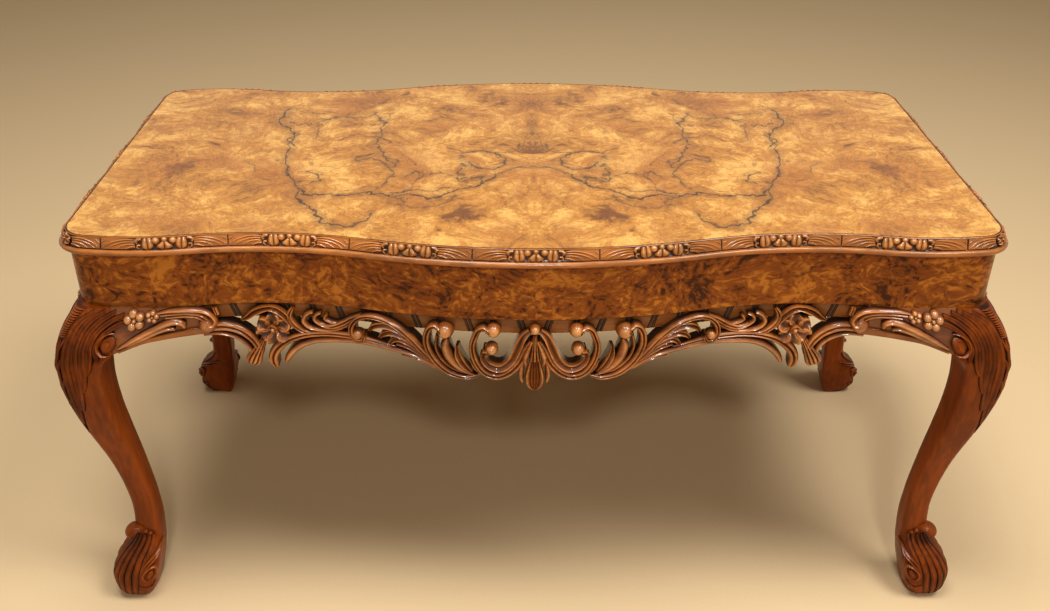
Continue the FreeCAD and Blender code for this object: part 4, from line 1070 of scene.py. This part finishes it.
# The volute's ball: distance along, height, radius, relief. The flowers: distance along,
# a further shift, height, radius, relief, turn
BRACKET_BALL = (104.6, 408.4, 10.2, 9)
BRACKET_FLOWERS = [(28.5, 0.0, 421.6, 12.0, 7.0, 0.5), (47.5, 0.5, 425, 7.8, 6.6, 0.1)]
PLAIN = mirrored_section([(-1, 0, 0.3), (-0.86, 0.9, 0.62), (0, 1, 0.66)])
BRACKET_LEAVES = [
    # distance from the leg's inner face along the bracket, height, width, relief
    (REED, [(54, 428, 3, 3.5), (66, 430, 5.4, 5), (78, 430.6, 6, 6.5), (93, 430, 6.4, 7.5),
            (104, 427.2, 6.6, 8), (112, 421, 6.8, 9), (114.6, 414, 6.6, 10),
            (111.6, 409.6, 6, 11), (107.4, 410, 5.2, 11.5), (106.2, 413.2, 3.6, 11)]),
    (REED, [(56, 425, 3, 3), (72, 426.4, 4.4, 4.6), (86, 426.4, 5, 5.6), (97, 423.8, 5, 6.2),
            (104, 419.6, 4.6, 6.8), (107.4, 415.6, 3.4, 7)]),
    (REED, [(61, 421.8, 2.5, 3), (76, 422.8, 4.4, 4.2), (88, 422.2, 4.8, 5), (96, 419.6, 4.6, 5.4),
            (100.6, 416, 3, 5)]),
    (REED, [(10, 390.4, 3.6, 3), (23, 397.6, 7, 4.6), (37, 405, 8.4, 5.8), (50, 411, 8.8, 6.6),
            (62.5, 416, 9, 7.2), (72.5, 417.2, 9.4, 7.4), (79, 413.6, 9, 7.4), (80, 408.8, 5, 5)]),
    (REED, [(19, 393.2, 3.6, 2.8), (36, 400.6, 6.4, 4.4), (52, 407.2, 7.2, 5.2),
            (63.5, 409.6, 7.2, 5.6), (70, 407.6, 4.4, 4.6)]),
    (PLAIN, [(9, 386, 2.6, 2), (26, 393.4, 4.6, 2.8), (40, 397.4, 5.4, 3), (58, 399.4, 6.6, 3),
             (82, 401, 8.2, 3), (106, 400.6, 8.6, 3)]),
    (PAIR, [(115.5, 431.6, 6, 6), (117.5, 422.5, 6, 6)]),
]


def rosette(work, place, along, up, radius, height, turn):
    """Small flower of five round petals about a bud."""
    for petal in range(5):
        angle = turn + math.tau * petal / 5
        spot = Vector((along, up)) + Vector((math.cos(angle), math.sin(angle))) * radius * 0.58
        boss(work, place, spot.x, spot.y, radius * 0.44, height, 16, 1.05, 0.5)
    boss(work, place, along, up, radius * 0.24, height * 1.05, 10, 1.0, 0.5)


def bracket_shape(share, height):
    """How far a bracket's face stands out of the plan, and its lower edge, at a share of
    its length from the leg: the knee's own swell dies away along it."""
    spot = max(0.0, min(2.999, share * 3))
    number, part = int(spot), spot - int(spot)
    rise, next_rise = RISE_SHARES[number : number + 2]
    swell, next_swell = SWELL_SHARES[number : number + 2]
    low = KNEE_LOW + BRACKET_RISE * (rise + (next_rise - rise) * part)
    full = swell + (next_swell - swell) * part
    level = max(0.0, min(1.0, (FRIEZE_LOW - height) / (FRIEZE_LOW - low)))
    knee = leg_section(FRIEZE_LOW - level * (FRIEZE_LOW - BRACKET_LOW))[0]
    return BRACKET_PROUD + full * (knee - BRACKET_PROUD), low


for corner, (hand, way) in SIDES.items():
    long_face, short_face = ("front" if way < 0 else "back"), ("left" if hand < 0 else "right")
    for run, face, sign, length, inner in (
        ("long", long_face, hand, LONG_BRACKET, LEG_INNER_X),
        ("short", short_face, way, SHORT_BRACKET, LEG_INNER_Y),
    ):
        scale = length / LONG_BRACKET

        def from_leg(along, up, out):
            spot = inner - along * scale
            travel = run_at(spot) if run == "long" else spot
            return edge_place(face, sign * travel, out, up)

        def bracket_place(along, up, out):
            proud, _ = bracket_shape(along * scale / length, up)
            return from_leg(along, up, proud + out)

        def round_place(along, up, out):
            return bracket_place(along / scale, up, out)

        bracket = new_work()
        rings = []
        for number in range(25):
            along = LONG_BRACKET * number / 24
            _, low = bracket_shape(along * scale / length, FRIEZE_LOW)
            levels = [low + (FRIEZE_LOW - low) * i / 8 for i in range(9)]
            ring = [bracket_place(along, level, BRACKET_GROUND) for level in levels]
            rings.append(ring + [from_leg(along, up, BRACKET_BACK) for up in (FRIEZE_LOW, low)])
        # Ground a little darker, painted shade under the leaves, and the hidden back darkest.
        draw_out(bracket, rings, [[0.55, 0.5] + [0.42] * 7 + [0.0, 0.2]] * len(rings))
        for section, points in BRACKET_LEAVES:
            member(bracket, bracket_place, points, section, 3.0, 4.0)
        along, *rest = BRACKET_BALL
        boss(bracket, round_place, along * scale, *rest, 22, 0.8, 0.4)
        for along, shift, *rest in BRACKET_FLOWERS:
            rosette(bracket, round_place, along * scale + shift, *rest)
        name = f"{run}_{corner}"
        finish_piece(
            bracket, f"knee_carving_{name}", carved_walnut, "carved_walnut", f"knee_bracket_{name}"
        )

# Top: a core board, dressed with two book-matched leaves of burr walnut that mirror each
# other about the middle, rubbed down and polished to a soft gloss.
CORE_DARK, CORE_LIGHT = (0.20, 0.12, 0.065, 1), (0.30, 0.19, 0.105, 1)
TOP_DARK, TOP_BODY = (0.185, 0.058, 0.0085, 1), (0.53, 0.212, 0.030, 1)
TOP_LIGHT, TOP_RUDDY = (0.83, 0.430, 0.098, 1), (0.43, 0.145, 0.022, 1)
VEIN_SHADE, VEIN_LINE = (0.24, 0.100, 0.020, 1), (0.050, 0.020, 0.008, 1)
TOP_EYE = (0.11, 0.030, 0.008, 1)
core_board = raw_timber("core_board", CORE_DARK, CORE_LIGHT, (3, 30, 30), 0.6)
dress(["top_core"], core_board)
# Dark veins of the burr on one leaf, in mm from the middle of the top: how dark each is,
# and the points that it runs through
VEINS = [
    (1.0, [(337, 148), (342, 130), (342, 108), (330, 88), (317, 68), (310, 45), (316, 26),
           (311, 6), (309, -20), (300, -52), (292, -80), (283, -105), (277, -127), (266, -148),
           (252, -166), (240, -186), (226, -203), (204, -208), (191, -192), (183, -174)]),
    (0.85, [(282, 112), (262, 117), (237, 118), (217, 124), (209, 140)]),
    (0.85, [(213, 138), (205, 124), (199, 100), (201, 78), (198, 54), (206, 30), (196, 10),
            (184, -12), (173, -35)]),
    (0.5, [(282, 112), (286, 88), (280, 66), (276, 44)]),
    (1.0, [(283, -106), (267, -125), (243, -128), (216, -127), (194, -118), (178, -117),
           (167, -127), (150, -123), (137, -126), (123, -134), (103, -124), (90, -107),
           (71, -102), (63, -86), (60, -68)]),
    (0.8, [(2, -38), (23, -50), (40, -64), (53, -78), (63, -88)]),
    (0.95, [(88, 0), (70, 3), (50, -1), (37, -15), (36, -35), (49, -50), (70, -48), (79, -34)]),
    (0.7, [(50, 0), (33, 3), (20, 6), (17, 30)]),
    (0.8, [(90, -46), (94, -70), (89, -90)]),
    (0.7, [(221, -28), (207, -17), (190, -25), (180, -45), (170, -66), (176, -88), (187, -107)]),
    (0.8, [(277, -60), (263, -67), (257, -84), (267, -94)]),
    (0.55, [(330, 148), (316, 138), (299, 134), (282, 133)]),
    (0.45, [(243, 132), (224, 158), (204, 187)]),
    (0.7, [(158, -72), (146, -57), (130, -65), (114, -54), (103, -66)]),
    (0.7, [(151, -110), (136, -106), (120, -114), (104, -104)]),
    (0.5, [(163, -150), (146, -158), (123, -155), (103, -143), (90, -126)]),
    (0.5, [(0, 96), (3, 60), (12, 36), (16, 10)]),
]
# Broad shades of the burr on one leaf: middle and half widths in mm, and how strong
BROWNS = [
    ((4, 150), (16, 90), 0.75), ((0, -10), (13, 62), 0.9), ((55, 200), (40, 34), 0.5),
    ((98, -178), (34, 44), 0.75), ((128, -140), (44, 22), 0.6), ((320, 95), (30, 60), 0.45),
    ((455, -80), (44, 52), 0.65), ((395, -60), (30, 50), 0.4), ((485, 95), (24, 40), 0.55),
    ((400, 150), (60, 26), 0.35), ((345, -130), (26, 60), 0.45), ((225, 175), (60, 22), 0.4),
]
# Where the fine dark lines show in full: middle and half widths in mm
LINED_PATCH = (190, 10), (160, 170)


def from_stretch(tree, place, start, end):
    """How far a place is from the straight stretch between two points of a vein."""
    way = Vector((end[0] - start[0], end[1] - start[1], 0.0)) * MM
    off = vectors(tree, "SUBTRACT", place, (start[0] * MM, start[1] * MM, 0.0))
    share = 1.0 / way.length_squared
    along = maths(tree, "MULTIPLY", vectors(tree, "DOT_PRODUCT", off, way), share)
    along = maths(tree, "MAXIMUM", maths(tree, "MINIMUM", along, 1.0), 0.0)
    return vectors(tree, "DISTANCE", off, vectors(tree, "SCALE", way, along))


def from_middle(tree, place, middle, reach):
    """How far a place is from a patch's middle, 1 at its edge."""
    off = vectors(tree, "SUBTRACT", place, (middle[0] * MM, middle[1] * MM, 0.0))
    off = vectors(tree, "DIVIDE", off, (reach[0] * MM, reach[1] * MM, 1.0))
    return vectors(tree, "LENGTH", off)


def burr_top():
    material, tree, shader, place = start_material("burr_top")
    parts = node(tree, "SeparateXYZ", {0: place}).outputs
    mirrored = {0: maths(tree, "ABSOLUTE", parts[0]), 1: parts[1], 2: 0.0}
    folded = node(tree, "CombineXYZ", mirrored).outputs[0]
    wandering = drifted(tree, folded, 26.0, 2.0, 0.026, flat=True)
    wandering = drifted(tree, wandering, 95.0, 3.0, 0.015, 0.6, flat=True)
    thin, soft = 0.0, 0.0
    for strength, points in VEINS:
        nearest = 1.0
        for start, end in zip(points, points[1:]):
            one = from_stretch(tree, wandering, start, end)
            nearest = maths(tree, "MINIMUM", nearest, one)
        line = eased(tree, nearest, 0.0018, 0.0005, 0.0, strength)
        shade = eased(tree, nearest, 0.013, 0.0, 0.0, strength)
        thin = maths(tree, "MAXIMUM", thin, line)
        soft = maths(tree, "MAXIMUM", soft, shade)
    brown = 0.0
    loose = drifted(tree, folded, 14.0, 4.0, 0.10, 0.6, flat=True)
    for middle, reach, strength in BROWNS:
        patch = eased(tree, from_middle(tree, loose, middle, reach), 1.3, 0.2, 0.0, strength)
        brown = maths(tree, "MAXIMUM", brown, patch)
    inside = from_middle(tree, loose, *LINED_PATCH)
    inputs = {"Place": folded, "Line": eased(tree, inside, 1.15, 0.85, 0.35, 1.0)}
    figure = node(tree, "Group", inputs, node_tree=BURR_FIGURE).outputs
    cloud = maths(tree, "MULTIPLY_ADD", brown, -0.11, figure["Cloud"])
    colour = blend(tree, eased(tree, cloud, 0.34, 0.49), TOP_DARK, TOP_BODY)
    colour = blend(tree, eased(tree, cloud, 0.47, 0.60), colour, TOP_LIGHT)
    ruddy = eased(tree, noise(tree, loose, 9.0, 4.0), 0.48, 0.64, 0.0, 0.60)
    colour = blend(tree, ruddy, colour, TOP_RUDDY)
    colour = blend(tree, maths(tree, "MULTIPLY", soft, 0.50), colour, VEIN_SHADE)
    colour = blend(tree, maths(tree, "MULTIPLY", figure["Eye"], 0.75), colour, TOP_EYE)
    line = maths(tree, "MAXIMUM", thin, figure["Line"])
    colour = blend(tree, maths(tree, "MULTIPLY", line, 0.9), colour, VEIN_LINE)
    # The short fibres make the colour lighter and darker: their sheen, painted.
    silk = eased(tree, figure["Fibre"], 0.33, 0.67, 0.80, 1.18)
    polish = {
        "Base Color": blend(tree, 1.0, colour, silk, "MULTIPLY"),
        "Roughness": eased(tree, cloud, 0.3, 0.7, 0.36, 0.28),
        "Specular IOR Level": 0.28,
        "Coat Weight": 0.30,
        "Coat Roughness": 0.20,
        "Normal": bumpy(tree, figure["Fibre"], 0.0003, 0.10),
    }
    feed(tree, shader, polish)
    return material


dress(["top_veneer_left", "top_veneer_right"], burr_top())

# Edge moulding: four lengths of walnut mitred at the rounded corners, carved on the slope
# with clusters of lobes and beads between acanthus leaves, over a plain polished bead.
TABLE_HEIGHT = 522.0
# Colour of the rim's depths: dark patina and painted shade.
RIM_DEEP, RIM_BODY = (0.018, 0.006, 0.003, 1), (0.46, 0.150, 0.025, 1)
RIM_RUBBED_AND_LIT = (0.76, 0.340, 0.095, 1)
# Distance out of the plan, height from the top's highest line, and tone: dark in the small
# groove next to the top and in the hollow above the bead, patina and painted shade, and light
# on the bead's crest, rubbing and painted highlight
RIM_SECTION = [
    (0.3, -20.0, 0.1), (0.3, -0.9, 0.0), (0.7, -0.3, 0.0), (1.2, -0.2, 0.05), (1.9, 0.0, 0.5),
    (2.5, -0.5, 0.5), (2.4, -1.6, 0.25), (3.4, -5.0, 0.16), (4.9, -9.2, 0.16), (6.2, -12.2, 0.2),
    (7.0, -13.0, 0.1), (8.1, -13.2, 0.5), (9.8, -13.7, 0.66), (11.0, -14.9, 0.72),
    (11.5, -16.6, 0.72), (11.0, -18.3, 0.62), (9.8, -19.5, 0.5), (8.1, -20.0, 0.4),
]
RIM_REED = mirrored_section([(-1, 0, 0), (-0.72, 0.72, 0.5), (0, 1, 1)])
RIM_LOBE = mirrored_section(
    [(-1, 0, 0), (-0.86, 0.7, 0.6), (-0.5, 1, 1), (-0.14, 0.86, 0.75), (0, 0.45, 0.05)]
)
RIM_BLADE = mirrored_section([(-1, 0, 0), (-0.93, 0.8, 0.6), (-0.5, 0.95, 0.72), (0, 1, 0.75)])
RIM_PITCH = 132.3
RIM_HALF = 66.0
# One half of a cluster: distance from its middle, distance down the slope, width, relief
RIM_CLUSTER = [
    (RIM_LOBE, [(0, 4.2, 4, 1.6), (0, 6.6, 8.5, 2.6), (0, 9.4, 17, 3.0), (0, 11.8, 17.5, 2.8),
                (0, 13.8, 9, 1.0)]),
    (RIM_LOBE, [(17.8, 0.8, 9, 2.2), (17.5, 4.6, 11.5, 3.2), (17.2, 8.6, 13, 3.4),
                (16.9, 11.6, 12, 3.0), (16.6, 13.9, 6, 1.0)]),
    (RIM_REED, [(23.6, 1.6, 3.5, 2.4), (27.0, 2.2, 5.2, 3.2), (29.6, 4.6, 4.6, 3.0),
                (28.0, 6.8, 3, 2.2)]),
    (RIM_REED, [(24.6, 9.0, 2.4, 1.8), (27.4, 8.8, 3.2, 2.4), (28.2, 11.4, 2.8, 2.2),
                (26.0, 13.4, 1.5, 1.2)]),
]
RIM_LEAF = [
    (RIM_BLADE, [(30.5, 6.8, 10, 0.9), (37, 6.9, 12.6, 1.4), (48, 7.0, 13.4, 1.5),
                 (59, 7.0, 13.4, 1.4), (65.4, 7.0, 13.2, 1.0)]),
    (RIM_REED, [(30, 2.6, 1.4, 1.8), (38, 2.2, 2.6, 2.5), (48, 3.4, 2.8, 2.6), (57, 6.6, 2.6, 2.4),
                (63.4, 11.0, 1.2, 1.6)]),
    (RIM_REED, [(31, 5.0, 1.6, 1.8), (38, 4.8, 3.0, 2.7), (47, 6.4, 3.0, 2.7),
                (54.5, 9.6, 2.4, 2.3), (59, 13.0, 1.0, 1.4)]),
    (RIM_REED, [(31, 7.8, 1.6, 1.8), (37, 7.6, 3.0, 2.8), (44, 9.2, 3.0, 2.6),
                (49.5, 13.0, 1.4, 1.4)]),
    (RIM_REED, [(30, 10.6, 1.6, 1.6), (34.5, 10.6, 3.0, 2.6), (40, 13.2, 1.6, 1.4)]),
    (RIM_REED, [(59.5, 2.6, 1.0, 1.4), (62.6, 3.8, 2.2, 2.3), (65.3, 6.4, 1.2, 1.6)]),
]
RIM_BEADS = [(0, 2.5, 3.3, 3.6), (8.9, 3.9, 4.3, 4.6)]
CORNER_LEAF = 41.0
CORNER_FLOWER = 9.5
MITRE_GAP = 0.6
RIM_LEAF_START = RIM_LEAF[0][1][0][0]
# The carved slope: its length, where it starts, and how far it runs out and falls
SLOPE_LENGTH = 14.0
SLOPE_START_OUT, SLOPE_START_DOWN = 2.3, 0.6
SLOPE_OUT, SLOPE_FALL = 4.6, 12.2
SLOPE_LEAN_OUT, SLOPE_LEAN_UP = 0.91, 0.42
rim_walnut = polished(
    "rim_walnut", RIM_DEEP, RIM_BODY, RIM_RUBBED_AND_LIT, (6, 40, 40), coat=0.40, gloss=0.12
)


def rim_place(face, run, down, out):
    """Place on the slope, or on the upright that goes on below it."""
    slide = min(1.0, down / SLOPE_LENGTH)
    reach = SLOPE_START_OUT + SLOPE_OUT * slide + SLOPE_LEAN_OUT * out
    fall = SLOPE_START_DOWN + SLOPE_FALL * slide + (down - SLOPE_LENGTH * slide)
    return edge_place(face, run, reach, TABLE_HEIGHT - fall + SLOPE_LEAN_UP * out)


for face in BAND_ENDS:
    rim = new_work()
    long_side = face in ("front", "back")
    end = CORNER_MIDDLE if long_side else QUARTER_RUN - CORNER_MIDDLE
    section = [(out, TABLE_HEIGHT + height) for out, height, _ in RIM_SECTION]
    strip(rim, face, -end, end, section, step=3.0, wear_and_shade=[wear_and_shade for _, _, wear_and_shade in RIM_SECTION])
    count = 3 if long_side else 1
    pitch = (end - CORNER_LEAF) / (count + 0.5)
    squeeze = pitch / RIM_PITCH
    for number in range(-count, count + 1):
        for sign in (1, -1):

            def on_rim(along, up, out):
                return rim_place(face, number * pitch + sign * along * squeeze, up, out)

            for shape, points in RIM_CLUSTER + RIM_LEAF:
                if sign > 0 or points[0][0]:
                    member(rim, on_rim, points, shape, 1.0, 3.2)
            for along, up, radius, height in RIM_BEADS:
                if along or sign > 0:
                    boss(rim, on_rim, along, up, radius, height, 12, 1.0, 0.5)
    share = (CORNER_LEAF - MITRE_GAP - CORNER_FLOWER) / (RIM_HALF - RIM_LEAF_START)
    for sign in (1, -1):

        def at_end(along, up, out):
            return rim_place(face, sign * (end - along), up, out)

        for shape, points in RIM_LEAF:
            moved = [
                (CORNER_FLOWER + (along - RIM_LEAF_START) * share, *rest) for along, *rest in points
            ]
            member(rim, at_end, moved, shape, 1.0, 3.2)
        if long_side:
            flower(rim, at_end, 0.0, 7.0, 6.9, 3.6, 0.3)
    finish_piece(rim, f"carved_rim_{face}", rim_walnut, "carved_edge", f"edge_moulding_{face}")

# Floor of one pale tone, daylight from large soft lamps above, at the right and in front,
# and the camera at the photograph's angle.
FLOOR_TONES = (0.84, 0.615, 0.348, 1), (0.88, 0.65, 0.375, 1)
DAYLIGHT = (1.0, 0.99, 0.97)


def plain_floor():
    """Pale matt floor with a fine even speckle."""
    material, tree, shader, place = start_material("floor")
    colour = blend(tree, noise(tree, place, 260.0, 2.0), *FLOOR_TONES)
    feed(tree, shader, {"Base Color": colour, "Roughness": 0.9, "Specular IOR Level": 0.1})
    return material


ground = bmesh.new()
bmesh.ops.create_grid(ground, x_segments=1, y_segments=1, size=6.0)
bmesh.ops.translate(ground, verts=ground.verts, vec=(0, 1.5, 0))
mesh = bpy.data.meshes.new("floor")
ground.to_mesh(mesh)
ground.free()
mesh.materials.append(plain_floor())
floor = bpy.data.objects.new("floor", mesh)
bpy.context.scene.collection.objects.link(floor)


def lamp(name, place, aim, size, power):
    light = bpy.data.lights.new(name, "AREA")
    light.shape = "RECTANGLE"
    light.size = light.size_y = size
    light.energy = power
    light.color = DAYLIGHT
    holder = bpy.data.objects.new(name, light)
    holder.location = place
    holder.rotation_mode = "QUATERNION"
    holder.rotation_quaternion = (Vector(aim) - Vector(place)).to_track_quat("-Z", "Y")
    bpy.context.scene.collection.objects.link(holder)


lamp("window_right", (1.3, -0.75, 2.8), (0, 0, 0.3), 1.0, 41)
lamp("ceiling", (-0.3, -0.35, 3.1), (0, 0, 0.3), 1.2, 56)
lamp("front_lamp", (0.15, -2.35, 2.3), (0, 0, 0.4), 0.3, 19)

world = bpy.data.worlds.new("room")
bpy.context.scene.world = world
world.use_nodes = True
air = world.node_tree
seen = air.nodes.new("ShaderNodeLightPath").outputs
backdrop = node(air, "Background", {"Color": (0.50, 0.50, 0.49, 1), "Strength": 1.0})
fill = node(air, "Background", {"Color": (1.0, 0.72, 0.44, 1), "Strength": 0.09})
shows = seen["Is Camera Ray"]
for ray in ("Is Glossy Ray", "Is Transmission Ray"):
    shows = maths(air, "MAXIMUM", shows, seen[ray])
either = node(air, "MixShader", {0: shows, 1: fill.outputs[0], 2: backdrop.outputs[0]})
air.links.new(either.outputs[0], air.nodes["World Output"].inputs["Surface"])

YAW, PITCH, ROLL = 0.0099, 0.5432, -0.0060
ahead = Vector(
    (math.sin(YAW) * math.cos(PITCH), math.cos(YAW) * math.cos(PITCH), -math.sin(PITCH))
)
right = Vector((math.cos(YAW), -math.sin(YAW), 0))
down = ahead.cross(right)
turned_right = right * math.cos(ROLL) + down * math.sin(ROLL)
turned_down = down * math.cos(ROLL) - right * math.sin(ROLL)
view = bpy.data.cameras.new("camera")
view.sensor_fit = "HORIZONTAL"
view.sensor_width = 36.0
view.lens = 37.40
camera = bpy.data.objects.new("camera", view)
camera.location = (-0.0216, -1.2841, 1.0714)
camera.rotation_mode = "QUATERNION"
axes = Matrix((turned_right, -turned_down, -ahead)).transposed()
camera.rotation_quaternion = axes.to_quaternion()
bpy.context.scene.collection.objects.link(camera)
bpy.context.scene.camera = camera
bpy.context.scene.view_settings.view_transform = "Standard"
